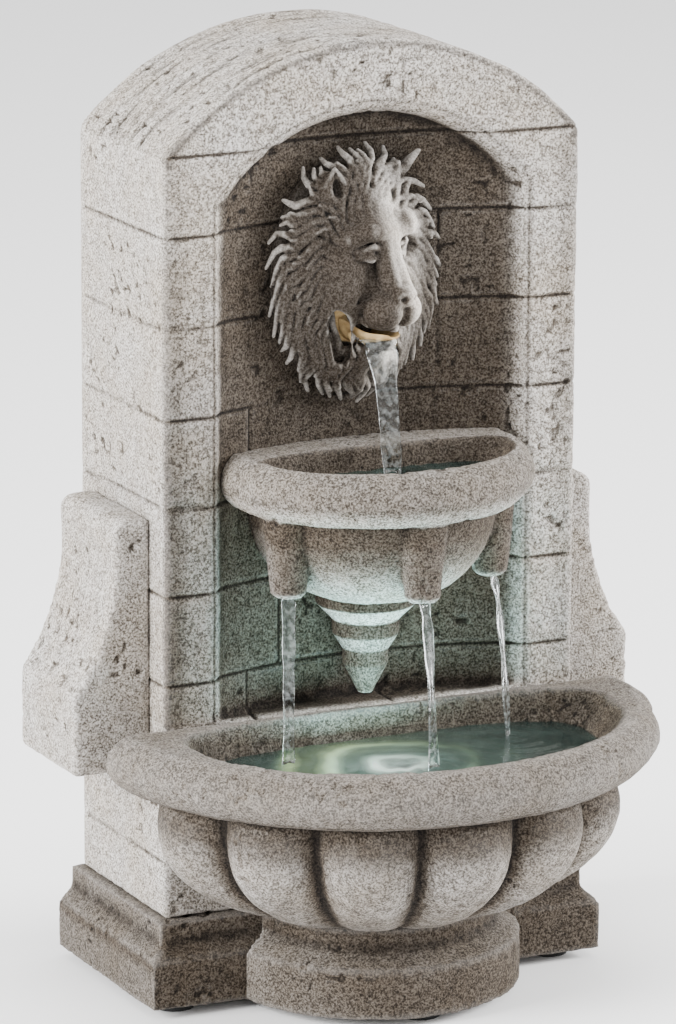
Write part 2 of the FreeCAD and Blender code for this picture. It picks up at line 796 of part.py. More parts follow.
def make_tube_clips():
    clips = []
    for index in range(clip_count):
        z = tube_foot + (tube_head - tube_foot) * (index + 1) / (clip_count + 1)
        outside = pump_back + tube_radius + clip_wall
        clip = block(-clip_half_width, clip_half_width, cavity_front, outside, z, z + clip_height)
        hole_top = V(0, pump_back, z + clip_height + beyond)
        clips.append(clip.cut(rod(tube_radius + fixing_play, V(0, pump_back, z - beyond), hole_top)))
    return Part.makeCompound(clips)


def elbow_bend_solid(radius):
    """A quarter turn from straight up to straight forwards."""
    turn_centre = V(0, pump_back - elbow_bend, mouth_height - elbow_bend)
    circle = Part.makeCircle(radius, V(0, pump_back, mouth_height - elbow_bend), V(0, 0, 1))
    return Part.Face(Part.Wire(circle)).revolve(turn_centre, V(1, 0, 0), 90)


def make_elbow():
    foot = V(0, pump_back, tube_head)
    bend = V(0, pump_back, mouth_height - elbow_bend)
    straight = V(0, pump_back - elbow_bend, mouth_height)
    seat = V(0, cavity_front + seal_thickness, mouth_height)
    flange = V(0, cavity_front + seal_thickness + elbow_flange_thickness, mouth_height)
    mouth = V(0, mouth_back, mouth_height)
    barb = foot - V(0, 0, elbow_barb_length)
    barb_radius = tube_bore - fixing_play
    elbow = elbow_bend_solid(tube_radius).fuse([
        rod(barb_radius, barb, foot), rod(tube_radius, foot, bend), rod(tube_radius, seat, straight),
        rod(elbow_flange_radius, seat, flange), rod(barb_radius, mouth, seat)])
    bore = elbow_bend_solid(nozzle_bore)
    bore = bore.fuse([rod(nozzle_bore, barb, bend), rod(nozzle_bore, mouth, straight)])
    return elbow.cut(bore)


def make_elbow_seal():
    start = V(0, cavity_front, mouth_height)
    return sleeve(elbow_flange_radius, tube_bore, start, start + V(0, seal_thickness, 0))


# Pump, laid along X with its outlet over x = 0

def along(x, y=0.0, z=0.0):
    """A point on the pump's own axis, or off it by y and z."""
    return V(x, pump_back + y, pump_axis + z)


chamber_back = pump_front_length - chamber_depth
well_end = chamber_back - rotor_length - bush_length - rotor_end_play
pocket_radius = stator_radius + stator_gap


def make_pump_body():
    half = pump_width / 2
    body = block(-pump_motor_length, pump_front_length, pump_back - half, pump_back + half,
                 pump_base, pump_top)
    pocket_front = chamber_back - rotor_well_end - rotor_well_wall
    core = rod(rotor_well_radius + rotor_well_wall, along(well_end - rotor_well_end), along(chamber_back))
    pocket = rod(pocket_radius, along(-pump_motor_length - beyond), along(pocket_front)).cut(core)
    cuts = [pocket, rod(rotor_well_radius, along(well_end), along(chamber_back + beyond))]
    cuts.append(rod(chamber_radius, along(chamber_back), along(pump_front_length + beyond)))
    cuts.append(rod(chamber_plate_radius + fixing_play, along(pump_front_length - chamber_plate_thickness),
                    along(pump_front_length + beyond)))
    outlet_top = V(0, pump_back, pump_top + beyond)
    spigot_seat = V(0, pump_back, pump_top - nozzle_spigot_length)
    cuts.append(rod(nozzle_radius + fixing_play, spigot_seat, outlet_top))
    cuts.append(rod(nozzle_bore, V(0, pump_back, pump_axis), outlet_top))
    return body.cut(cuts)


def make_end_cap():
    start = along(-pump_motor_length)
    return rod(pocket_radius - fixing_play, start, along(end_cap_thickness - pump_motor_length))


stator_front = chamber_back - rotor_well_end - rotor_well_wall - winding_length - stator_gap


def make_stator_core():
    bore = rotor_well_radius + rotor_well_wall + stator_gap / 2
    return sleeve(stator_radius, bore, along(stator_front - stator_length), along(stator_front))


def make_windings():
    bore = rotor_well_radius + rotor_well_wall + stator_gap
    outer = stator_radius - stator_gap
    rings = []
    for x in (stator_front, stator_front - stator_length - winding_length):
        rings.append(sleeve(outer, bore, along(x), along(x + winding_length)))
    return Part.makeCompound(rings)


rotor_front = chamber_back + rotor_end_play


def make_rotor():
    start = along(rotor_front - rotor_length)
    return sleeve(rotor_radius, shaft_radius + shaft_play, start, along(rotor_front))


def make_wheel():
    disc_front = rotor_front + hub_disc_thickness
    wheel = rod(blade_radius, along(rotor_front), along(disc_front))
    wheel = wheel.fuse(rod(bush_radius, along(disc_front), along(disc_front + blade_height)))
    for index in range(blade_count):
        blade = block(disc_front, disc_front + blade_height, pump_back - blade_thickness / 2,
                      pump_back + blade_thickness / 2, pump_axis, pump_axis + blade_radius - blade_thickness)
        blade.rotate(along(0), V(1, 0, 0), 360.0 * index / blade_count)
        wheel = wheel.fuse(blade)
    bore = rod(shaft_radius + shaft_play, along(rotor_front), along(pump_front_length))
    return wheel.removeSplitter().cut(bore)


def bush_starts():
    return (well_end, pump_front_length - chamber_plate_thickness)


def make_bushes():
    rear, front = bush_starts()
    rear_bush = sleeve(rotor_well_radius - fixing_play, shaft_radius, along(rear), along(rear + bush_length))
    front_bush = sleeve(bush_radius, shaft_radius, along(front), along(front + chamber_plate_thickness))
    return Part.makeCompound([rear_bush, front_bush])


def make_shaft():
    return rod(shaft_radius, along(well_end), along(pump_front_length))


def make_chamber_plate():
    start = along(pump_front_length - chamber_plate_thickness)
    plate = rod(chamber_plate_radius, start, along(pump_front_length))
    cuts = [rod(bush_radius + bush_play, start, along(pump_front_length))]
    for index in range(blade_count):
        turn = 2 * math.pi * index / blade_count
        y = inlet_circle_radius * math.cos(turn)
        z = inlet_circle_radius * math.sin(turn)
        cuts.append(rod(inlet_hole_radius, start + V(0, y, z), along(pump_front_length, y, z)))
    return plate.cut(cuts)


strainer_front = pump_front_length + fixing_play + strainer_depth


def make_strainer():
    half = pump_width / 2
    start = pump_front_length + fixing_play
    low = pump_back - half
    high = pump_back + half
    cover = block(start, strainer_front, low, high, pump_base, pump_top)
    inside = block(start - beyond, strainer_front - strainer_wall, low + strainer_wall, high - strainer_wall,
                   pump_base + strainer_wall, pump_top - strainer_wall)
    cuts = [inside, rod(dial_pin_radius + shaft_play, along(start), along(strainer_front + beyond))]
    pitch = (pump_height - 2 * strainer_wall) / strainer_slot_count
    for index in range(strainer_slot_count):
        middle = pump_base + strainer_wall + pitch * (index + 0.5)
        cuts.append(block(start + strainer_wall, strainer_front - 2 * strainer_wall,
                          low - beyond, high + beyond,
                          middle - strainer_slot_width / 2, middle + strainer_slot_width / 2))
    return cover.cut(cuts)


def make_dial():
    face = strainer_front + fixing_play
    dial = rod(dial_radius, along(face), along(face + dial_thickness))
    grip = block(face + dial_thickness, face + dial_thickness + dial_grip_height,
                 pump_back - dial_grip_width / 2, pump_back + dial_grip_width / 2,
                 pump_axis - dial_radius + dial_grip_width, pump_axis + dial_radius - dial_grip_width)
    pin = rod(dial_pin_radius, along(strainer_front - 2 * strainer_wall), along(face))
    return dial.fuse([grip, pin]).removeSplitter()


def make_suction_cups():
    cups = []
    for x in (cup_inset - pump_motor_length, pump_front_length - cup_inset):
        for y in (pump_back - pump_width / 2 + cup_inset, pump_back + pump_width / 2 - cup_inset):
            cups.append(Part.makeCone(cup_radius, cup_neck_radius, cup_height, V(x, y, sump_inside)))
    return Part.makeCompound(cups)


# Underwater lamp

lamp_foot = V(0, lamp_back, basin_floor)
lamp_seat = lamp_height - lamp_lens_edge - lamp_seal_radius
lamp_inside = lamp_radius - lamp_wall


def lamp_point(z):
    return lamp_foot + V(0, 0, z)


def make_lamp_housing():
    cup = rod(lamp_radius, lamp_point(0), lamp_point(lamp_height))
    well = rod(lamp_inside - lamp_wall, lamp_point(lamp_floor), lamp_point(lamp_height))
    seat = rod(lamp_inside, lamp_point(lamp_seat), lamp_point(lamp_height))
    cup = cup.cut([well, seat])
    for side in (-1, 1):
        post = V(side * lamp_inside / 2, 0, 0)
        foot = lamp_point(lamp_floor) + post
        cup = cup.fuse(rod(lamp_wall, foot, foot + V(0, 0, lamp_standoff)))
    return cup.removeSplitter()


def make_lamp_board():
    low = lamp_floor + lamp_standoff
    top = low + lamp_board_thickness
    board = rod(lamp_inside - lamp_wall - fixing_play, lamp_point(low), lamp_point(top))
    for index in range(lamp_chip_count):
        turn = 2 * math.pi * index / lamp_chip_count
        middle = lamp_point(top) + V(lamp_chip_circle * math.cos(turn), lamp_chip_circle * math.sin(turn), 0)
        corner = middle - V(lamp_chip_half, lamp_chip_half, 0)
        board = board.fuse(Part.makeBox(2 * lamp_chip_half, 2 * lamp_chip_half, lamp_chip_height, corner))
    return board.removeSplitter()


def make_lamp_seal():
    ring = lamp_inside - lamp_seal_radius - fixing_play
    inner = ring - lamp_seal_radius
    return sleeve(ring, inner, lamp_point(lamp_seat), lamp_point(lamp_seat + lamp_seal_radius))


def make_lamp_lens():
    low = lamp_height - lamp_lens_edge
    edge = rod(lamp_inside - fixing_play, lamp_point(low), lamp_point(lamp_height))
    dome_half = lamp_inside - lamp_ring_overlap - fixing_play
    dome_radius = (dome_half ** 2 + lamp_lens_rise ** 2) / (2 * lamp_lens_rise)
    ball = Part.makeSphere(dome_radius, lamp_point(lamp_height + lamp_lens_rise - dome_radius))
    dome = ball.common(rod(dome_half, lamp_point(lamp_height), lamp_point(lamp_height + lamp_lens_rise)))
    return edge.fuse(dome).removeSplitter()


def make_lamp_ring():
    start = lamp_point(lamp_height)
    end = lamp_point(lamp_height + lamp_ring_thickness)
    return sleeve(lamp_radius, lamp_inside - lamp_ring_overlap, start, end)


# Back cover, its screws and the cable grommet

def make_back_cover():
    inset = cover_margin + cover_clearance
    cover = arch_prism(inset, plinth_top + inset, cover_inner, wall_depth)
    cuts = []
    for x, z in cover_screw_places():
        cuts.append(rod(cover_screw_radius + screw_play / 2, V(x, cover_inner, z), V(x, wall_depth, z)))
    neck = V(grommet_across, cover_inner, grommet_height)
    cuts.append(rod(grommet_neck + fixing_play, neck, neck + V(0, cover_thickness, 0)))
    return cover.cut(cuts)


def make_cover_screws():
    screws = []
    for x, z in cover_screw_places():
        tip = V(x, wall_depth - cover_screw_length, z)
        seat = V(x, wall_depth, z)
        head = rod(cover_screw_head_radius, seat, seat + V(0, cover_screw_head_height, 0))
        screws.append(head.fuse(rod(cover_screw_radius, tip, seat)).removeSplitter())
    return Part.makeCompound(screws)


def make_grommet():
    inner = V(grommet_across, cover_inner, grommet_height)
    outer = V(grommet_across, wall_depth, grommet_height)
    lip = V(0, grommet_lip, 0)
    grommet = rod(grommet_neck, inner - lip, outer + lip)
    grommet = grommet.fuse([rod(grommet_flange, inner - lip, inner), rod(grommet_flange, outer, outer + lip)])
    return grommet.removeSplitter().cut(rod(grommet_bore, inner - lip, outer + lip))


def build_nodes():
    """Every separate piece of the fountain, by name."""
    room = in_front_or_niche()
    plinth = make_plinth()
    dowels = [scroll_dowel(side, back, 0) for side in (-1, 1) for back in dowel_backs]
    return {
        "wall_shell": make_wall_shell(),
        "left_scroll": make_scroll(-1),
        "right_scroll": make_scroll(1),
        "scroll_dowels": Part.makeCompound(dowels),
        "plinth": plinth,
        "plinth_bolts": make_base_bolts(),
        "pedestal": make_pedestal(plinth),
        "rubber_feet": make_feet(),
        "basin": make_basin(),
        "upper_bowl": make_upper_bowl(room),
        "upper_bowl_bolts": wall_bolts(*bolt_rows()[0]),
        "stepped_drop": make_drop(room),
        "lion_mask": make_lion_mask(room),
        "lion_mask_bolts": wall_bolts(*bolt_rows()[1]),
        "mouth_spout": make_mouth_spout(),
        "mouth_elbow": make_elbow(),
        "elbow_seal": make_elbow_seal(),
        "riser_tube": make_riser_tube(),
        "tube_clips": make_tube_clips(),
        "outlet_nozzle": make_nozzle(),
        "pump_body": make_pump_body(),
        "pump_end_cap": make_end_cap(),
        "stator_core": make_stator_core(),
        "stator_windings": make_windings(),
        "rotor_magnet": make_rotor(),
        "impeller_wheel": make_wheel(),
        "impeller_shaft": make_shaft(),
        "shaft_bushes": make_bushes(),
        "chamber_plate": make_chamber_plate(),
        "strainer_cover": make_strainer(),
        "flow_dial": make_dial(),
        "suction_cups": make_suction_cups(),
        "lamp_housing": make_lamp_housing(),
        "lamp_board": make_lamp_board(),
        "lamp_seal": make_lamp_seal(),
        "lamp_lens": make_lamp_lens(),
        "lamp_ring": make_lamp_ring(),
        "back_cover": make_back_cover(),
        "cover_screws": make_cover_screws(),
        "cable_grommet": make_grommet(),
    }


def main():
    os.makedirs("parts", exist_ok=True)
    for name, shape in build_nodes().items():
        shape.translate(to_middle)
        shape.exportStep("parts/" + name + ".step")
        box = shape.BoundBox
        print(f"{name:18s} solids {len(shape.Solids)} valid {shape.isValid()} volume {shape.Volume:10.0f}"
              f"  x {box.XMin:7.1f} {box.XMax:7.1f}  y {box.YMin:7.1f} {box.YMax:7.1f}"
              f"  z {box.ZMin:6.1f} {box.ZMax:6.1f}")


main()
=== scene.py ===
# %% [markdown]
# # Dressing an indoor lion fountain
# The construction comes packed as a frame: forty pieces at their real size, in metres.
# Here the stone gets its rough skin, the lion its face and mane, and the water its flow.
# Nothing in the frame is moved. A new piece stands where the plain solid stands.

# %% Load the frame
import json
import math
import bpy
import numpy as np
from mathutils import Matrix, Vector


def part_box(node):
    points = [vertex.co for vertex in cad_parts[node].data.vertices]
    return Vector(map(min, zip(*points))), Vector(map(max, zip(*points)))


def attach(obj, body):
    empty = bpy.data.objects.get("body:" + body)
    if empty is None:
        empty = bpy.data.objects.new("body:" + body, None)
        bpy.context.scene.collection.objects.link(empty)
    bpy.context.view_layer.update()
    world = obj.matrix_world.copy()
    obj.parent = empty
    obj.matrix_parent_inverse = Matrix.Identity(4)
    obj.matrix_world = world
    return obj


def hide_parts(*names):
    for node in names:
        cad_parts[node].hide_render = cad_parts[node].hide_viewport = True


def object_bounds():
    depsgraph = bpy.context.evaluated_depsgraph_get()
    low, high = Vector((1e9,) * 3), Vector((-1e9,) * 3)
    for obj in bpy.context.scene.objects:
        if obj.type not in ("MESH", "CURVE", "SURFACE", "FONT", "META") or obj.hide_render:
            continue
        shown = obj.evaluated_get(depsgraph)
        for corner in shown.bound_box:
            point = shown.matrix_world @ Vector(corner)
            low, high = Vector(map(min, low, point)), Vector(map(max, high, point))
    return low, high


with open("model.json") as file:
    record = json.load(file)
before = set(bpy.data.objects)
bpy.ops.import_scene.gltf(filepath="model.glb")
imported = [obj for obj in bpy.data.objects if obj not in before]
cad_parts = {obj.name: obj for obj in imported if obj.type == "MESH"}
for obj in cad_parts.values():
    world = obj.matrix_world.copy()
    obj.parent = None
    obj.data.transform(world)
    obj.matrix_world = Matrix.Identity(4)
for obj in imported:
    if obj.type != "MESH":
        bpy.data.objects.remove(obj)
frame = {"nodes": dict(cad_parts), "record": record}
cad_low, cad_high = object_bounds()
mm = 0.001
print("frame of", len(frame["nodes"]), "nodes, box", [round(x, 3) for x in cad_high - cad_low])

# %% [markdown]
# ## The camera
# A product is photographed with a long lens from a few steps away, so that upright edges stay upright.
# A camera can be placed by hand or worked out from angles. Angles are easier to read and to change:
# how far the view is turned, how far it looks down, and how far away it stands from the point it aims at.

# %% Camera from its angles
view_turn = math.radians(25.82)
view_drop = math.radians(13.62)
view_roll = math.radians(0.27)
view_distance = 2.4514
view_aim = Vector((-0.016, 0.0125, 0.2049))
ahead = Vector((math.sin(view_turn) * math.cos(view_drop), math.cos(view_turn) * math.cos(view_drop),
                -math.sin(view_drop)))
level_right = Vector((math.cos(view_turn), -math.sin(view_turn), 0))
level_up = level_right.cross(ahead)
right = level_right * math.cos(view_roll) + level_up * math.sin(view_roll)
up = level_up * math.cos(view_roll) - level_right * math.sin(view_roll)
camera = bpy.data.objects.new("camera", bpy.data.cameras.new("camera"))
bpy.context.scene.collection.objects.link(camera)
camera.data.lens = 209.8
camera.data.clip_end = 50
stand = Matrix((right, up, -ahead)).transposed().to_4x4()
stand.translation = view_aim - ahead * view_distance
camera.matrix_world = stand
bpy.context.scene.camera = camera
print("camera at", [round(x, 3) for x in stand.translation])

# %% [markdown]
# ## Writing finishes as nodes
# A finish is a small graph of nodes that ends in the Principled shader. Written out in full, a graph is long.
# Short helpers keep it readable: they start a finish, add a node with its settings, and make the nodes that
# come up most, which are ramps, mixes and noise. Constant values are set on the sockets themselves.

# %% Helpers for finishes
def set_sockets(node, values):
    for socket, value in values.items():
        node.inputs[socket].default_value = value


def new_finish(name, roughness, specular):
    finish = bpy.data.materials.new(name)
    finish.use_nodes = True
    shader = finish.node_tree.nodes["Principled BSDF"]
    set_sockets(shader, {"Roughness": roughness, "Specular IOR Level": specular})
    return finish, shader


def add(finish, kind, values=None, **links):
    """A node of that kind, with socket values by name and links given as keyword=socket."""
    node = finish.node_tree.nodes.new("ShaderNode" + kind)
    set_sockets(node, values or {})
    for socket, source in links.items():
        finish.node_tree.links.new(source, node.inputs[socket.replace("_", " ")])
    return node


def ramp(finish, source, *stops):
    """A colour ramp whose stops are pairs of a position and a colour."""
    node = add(finish, "ValToRGB", Fac=source)
    stripes = node.color_ramp.elements
    while len(stripes) < len(stops):
        stripes.new(0.5)
    for stripe, (position, colour) in zip(stripes, stops):
        stripe.position = position
        stripe.color = (*colour, 1)
    return node.outputs["Color"]


def mix(finish, kind, share, first, second):
    """Two colours mixed in one way. share and second may be a socket or a constant."""
    node = add(finish, "Mix")
    node.data_type = "RGBA"
    node.blend_type = kind
    sockets = ((node.inputs[0], share), (node.inputs[6], first), (node.inputs[7], second))
    for socket, value in sockets:
        if isinstance(value, bpy.types.NodeSocket):
            finish.node_tree.links.new(value, socket)
        else:
            socket.default_value = value if isinstance(value, float) else (*value, 1)
    return node.outputs[2]


def plug(finish, source, shader, socket):
    finish.node_tree.links.new(source, shader.inputs[socket])


def place(finish):
    """Where a point is on the piece, in metres."""
    return add(finish, "TexCoord").outputs["Object"]


def noise(finish, scale, detail=2.0, roughness=0.5):
    """Noise over the piece, with lumps of about 1 / scale metres."""
    values = {"Scale": scale, "Detail": detail, "Roughness": roughness}
    return add(finish, "TexNoise", values, Vector=place(finish)).outputs["Fac"]


def raise_grain(finish, shader, height, strength, distance):
    """Relief that the light shows, with the heights of a noise and up to that distance in metres."""
    bump = add(finish, "Bump", {"Strength": strength, "Distance": distance}, Height=height)
    plug(finish, bump.outputs["Normal"], shader, "Normal")


def grey(value):
    return (value, value, value)


print("helpers ready")

# %% [markdown]
# ## Cast stone
# The body is cast from resin and stone dust, then washed with a brown stain that stays in the hollows.
# Three things are seen: patches of warmer and cooler grey, a salt and pepper grain of about a millimetre,
# and the stain. The first two are noise. The same brown is used to paint shade, in hollows, under ledges and
# on faces turned from the light, and ridges are painted paler as highlights. The stain needs to know where
# the hollows are, so each mesh carries two numbers per point, one for how hollow it is and one for its share
# of stain and painted shade, which the finish reads as attributes.

# %% Stone finish
ochre_tones = ((0.35, (0.30, 0.19, 0.08)), (0.62, (0.52, 0.37, 0.18)))


def read_number(finish, name):
    """The number of that name that each point of the mesh carries."""
    node = add(finish, "Attribute")
    node.attribute_name = name
    return node.outputs["Fac"]


def stone_finish(name, cool, warm, stain_and_shade, speckle, wear):
    """Cast stone with shares of speckle and of paler ridges, worn and painted as highlights, and bare ochre
    where the mesh says so.
    """
    finish, shader = new_finish(name, 0.9, 0.2)
    patches = noise(finish, 30.0, 6.0, 0.65)
    grain = noise(finish, 1150.0, 2.0, 0.7)
    crumbs = noise(finish, 310.0, 3.0, 0.7)
    body = ramp(finish, patches, (0.34, cool), (0.66, warm))
    mixed = mix(finish, "MIX", 0.25, grain, crumbs)
    pepper = ramp(finish, mixed, (0.36, (0.12, 0.105, 0.09)), (0.46, (0.36, 0.34, 0.315)),
                  (0.54, (0.78, 0.77, 0.75)), (0.62, grey(1.0)))
    colour = mix(finish, "MULTIPLY", speckle, body, pepper)
    hollow = read_number(finish, "hollow")
    # Darker in hollows: stain, and painted shade where less light gets in.
    deep = ramp(finish, hollow, (0.50, grey(0.0)), (0.76, grey(0.95)))
    colour = mix(finish, "MIX", deep, colour, mix(finish, "MULTIPLY", 1.0, colour, stain_and_shade))
    soak = ramp(finish, mixed, (0.42, grey(1.0)), (0.60, grey(0.95)))
    # The share each point carries darkens it with the same brown, as stain and as painted shade.
    stain_and_shade_share = mix(finish, "MULTIPLY", 1.0, read_number(finish, "stain_and_shade_share"), soak)
    colour = mix(finish, "MIX", stain_and_shade_share, colour, mix(finish, "MULTIPLY", 1.0, colour, stain_and_shade))
    # Paler ridges: wear, and a painted highlight.
    rubbed_and_highlit = ramp(finish, hollow, (0.22, grey(wear)), (0.44, grey(0.0)))
    colour = mix(finish, "SCREEN", rubbed_and_highlit, colour, tuple(0.5 * c for c in cool))
    bare = ramp(finish, crumbs, *ochre_tones)
    colour = mix(finish, "MIX", read_number(finish, "ochre"), colour, bare)
    plug(finish, colour, shader, "Base Color")
    plug(finish, ramp(finish, grain, (0.3, grey(0.97)), (0.7, grey(0.75))), shader, "Roughness")
    raise_grain(finish, shader, mix(finish, "MIX", 0.6, grain, crumbs), 0.9, 0.0011)
    return finish


# Its brown paints both the stain and the shade.
stone = stone_finish("cast_stone", (0.57, 0.55, 0.53), (0.48, 0.435, 0.38), (0.132, 0.108, 0.084), 1.0, 0.15)
print("finish", stone.name, "with", len(stone.node_tree.nodes), "nodes")

# %% [markdown]
# ## Noise in numbers
# Real stone is uneven at every size, so its roughness belongs in the mesh and not only in the shading.
# A noise texture can displace a mesh through a modifier, but then the amounts are hard to combine.
# Value noise worked out in numpy gives one number per point, which can be added, cut off and measured.

# %% Noise for points
def lattice_value(cell, seed):
    """A steady random number from 0 to 1 for each whole-numbered cell."""
    mixed = cell.astype(np.int64) @ np.array([374761393, 668265263, 1274126177]) + seed * 974711
    mixed = (mixed ^ (mixed >> 13)) * 1103515245 & 0x7FFFFFFF
    mixed = (mixed ^ (mixed >> 15)) * 69069 & 0x7FFFFFFF
    return mixed / 0x7FFFFFFF


def lumps(points, size, seed):
    """Smooth noise from -1 to 1 with lumps of that size."""
    scaled = points / size
    cell = np.floor(scaled)
    part = scaled - cell
    ease = part * part * (3 - 2 * part)
    total = np.zeros(len(points))
    for corner in np.ndindex(2, 2, 2):
        weight = np.prod(np.where(corner, ease, 1 - ease), axis=1)
        total += weight * lattice_value(cell + corner, seed)
    return total * 2 - 1


def rough(points, size, seed, octaves=3):
    """Lumps with smaller lumps on them."""
    return sum(lumps(points, size / 2 ** n, seed + n) / 2 ** n for n in range(octaves)) / 1.6


def slope(low, high, values):
    """0 up to low, 1 beyond high, smooth between. low may also be the larger of the two."""
    t = np.clip((values - low) / (high - low), 0, 1)
    return t * t * (3 - 2 * t)


print("noise at the middle", round(float(rough(np.array([[0.0, 0.0, 0.2]]), 0.01, 3)[0]), 3))

# %% [markdown]
# ## From a plain solid to worn stone
# The frame's solids have crisp edges and flat faces. A cast piece has soft edges, dents and pits.
# Remeshing a copy into even little squares gives every point room to move, a short smoothing wears the edges,
# and then each point is pushed along its normal. The frame's own mesh stays as it is and is hidden.

# %% Helpers for stone pieces
def link_new(name, mesh):
    piece = bpy.data.objects.new(name, mesh)
    bpy.context.scene.collection.objects.link(piece)
    return piece


def after_modifiers(mesh, *steps):
    """The mesh that a stack of modifiers makes, each step given as a kind and its settings."""
    helper = link_new("helper", mesh)
    for kind, settings in steps:
        step = helper.modifiers.new(kind, kind)
        for key, value in settings.items():
            setattr(step, key, value)
    made = bpy.data.meshes.new_from_object(helper.evaluated_get(bpy.context.evaluated_depsgraph_get()))
    bpy.data.objects.remove(helper)
    return made


def rows_of(mesh, what):
    flat = np.empty(len(mesh.vertices) * 3, np.float32)
    mesh.vertices.foreach_get(what, flat)
    return flat.reshape(-1, 3).astype(float)


def points_of(mesh):
    return rows_of(mesh, "co")


def normals_of(mesh):
    return rows_of(mesh, "normal")


def set_points(mesh, points):
    mesh.vertices.foreach_set("co", points.astype(np.float32).ravel())
    mesh.update()


def write_number(mesh, name, values):
    layer = mesh.attributes.get(name) or mesh.attributes.new(name, "FLOAT", "POINT")
    layer.data.foreach_set("value", np.asarray(values, np.float32))


def measure_hollows(mesh, reach, depth):
    """0.5 on even ground, towards 1 in a hollow and 0 on a ridge, judged over reach smoothing steps."""
    smooth = after_modifiers(mesh.copy(), ("SMOOTH", {"factor": 0.5, "iterations": reach}))
    below = np.sum((points_of(smooth) - points_of(mesh)) * normals_of(mesh), axis=1)
    bpy.data.meshes.remove(smooth)
    return np.clip(0.5 + 0.5 * below / depth, 0, 1)


def stone_skin(points, strength):
    """How far the skin of the stone stands out: dents, grain and pits."""
    dents = 0.45 * rough(points, 17 * mm, 11)
    grain = 0.30 * rough(points, 4 * mm, 23)
    pitted = slope(-0.1, 0.5, lumps(points, 21 * mm, 41))
    pits = 0.75 * slope(0.34, 0.62, lumps(points, 3.1 * mm, 37)) * pitted
    return strength * mm * (dents + grain - pits)


def dress_stone(piece_name, mesh, stain_and_shade_share, finish=stone, reach=40, depth=1.5 * mm):
    """Ends a stone piece: notes its hollows, keeps it in the frame's box, and gives it its finish."""
    set_points(mesh, np.clip(points_of(mesh), np.array(cad_low), np.array(cad_high)))
    fine = measure_hollows(mesh, 3, 0.22 * mm)
    broad = measure_hollows(mesh, reach, depth)
    write_number(mesh, "hollow", 0.45 * fine + 0.55 * broad)
    write_number(mesh, "stain_and_shade_share", stain_and_shade_share)
    mesh.materials.clear()
    mesh.materials.append(finish)
    mesh.shade_smooth()
    piece = link_new(piece_name, mesh)
    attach(piece, "root")
    print(piece_name, len(mesh.vertices), "points")
    return piece


def worn_copy(node, voxel, wear):
    """A copy of a frame solid in even squares, with its edges worn by that many smoothing steps."""
    mesh = frame["nodes"][node].data.copy()
    return after_modifiers(mesh, ("REMESH", {"mode": "VOXEL", "voxel_size": voxel}),
                           ("SMOOTH", {"factor": 0.5, "iterations": wear}))


print("stone helpers ready")

# %% [markdown]
# ## The arched wall
# The wall is cast to look like blocks: level joints run round it, and in the niche upright joints are added.
# The level joints are in the frame's solid, but remeshing softens them, so they are pressed in again.
# A joint is a narrow bell-shaped dip. Its line wanders a little, because the mould was cut by hand.
# Level joints are known by their heights. The upright ones are listed course by course from the top,
# in millimetres from the middle.

# %% Joints between the blocks
wall_low, wall_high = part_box("wall_shell")
wall_face = wall_low.y
rim_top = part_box("basin")[1].z
course_height, arch_course, jamb_course = 37.2 * mm, 0.3575, 0.3245
course_tops = [arch_course, *(jamb_course - course_height * n for n in range(8))]
niche_joints = ((36.3,), (-14.0, 37.5), (-50.5, 36.0), (-40.0, 43.0), (-35.9, 33.0), (-52.0, 12.0))
joint_width = 0.65 * mm
niche_arch = {"half": 0.0715, "crest": 0.3742, "radius": 0.0869}
outer_arch = {"half": 0.0918, "crest": 0.3978, "radius": 0.1230}


def dip(distance):
    """1 on the line of a joint, about a third at its width, and 0 farther off."""
    return np.exp(-(distance / joint_width) ** 2)


def joint_depth(points, in_niche):
    """How deep the joints go at each point, as a share of their full depth."""
    wander = 0.7 * mm * lumps(points, 30 * mm, 5)
    depth = np.zeros(len(points))
    for top in course_tops:
        depth = np.maximum(depth, dip(points[:, 2] + wander - top))
    for top, foot, places in zip(course_tops[1:], course_tops[2:], niche_joints):
        course = in_niche & (points[:, 2] > foot) & (points[:, 2] < top)
        for x in places:
            depth = np.maximum(depth, np.where(course, dip(points[:, 0] + wander - x * mm), 0))
    return depth


def edge_line(points, half, crest, radius):
    """Distance from the outline of an arch, seen from the front."""
    centre = crest - radius
    spring = centre + math.sqrt(radius ** 2 - half ** 2)
    head = np.abs(np.hypot(points[:, 0], points[:, 2] - centre) - radius)
    return np.where(points[:, 2] > spring, head, np.abs(np.abs(points[:, 0]) - half))


print("joints along", len(course_tops), "level lines and in", len(niche_joints), "courses of the niche")

# %% [markdown]
# ## Wearing, staining and shading the wall
# Only the faces that show get the rough skin. The hollow behind, where the cover is fitted, stays plain.
# The niche is painted darkest, as painted shade with some stain, and the front is darker towards the foot of
# its left jamb and near its outer corners. Stain also lies in the joints, along the edges of both arches and
# in the streaks on top. All of it ends in one number per point.

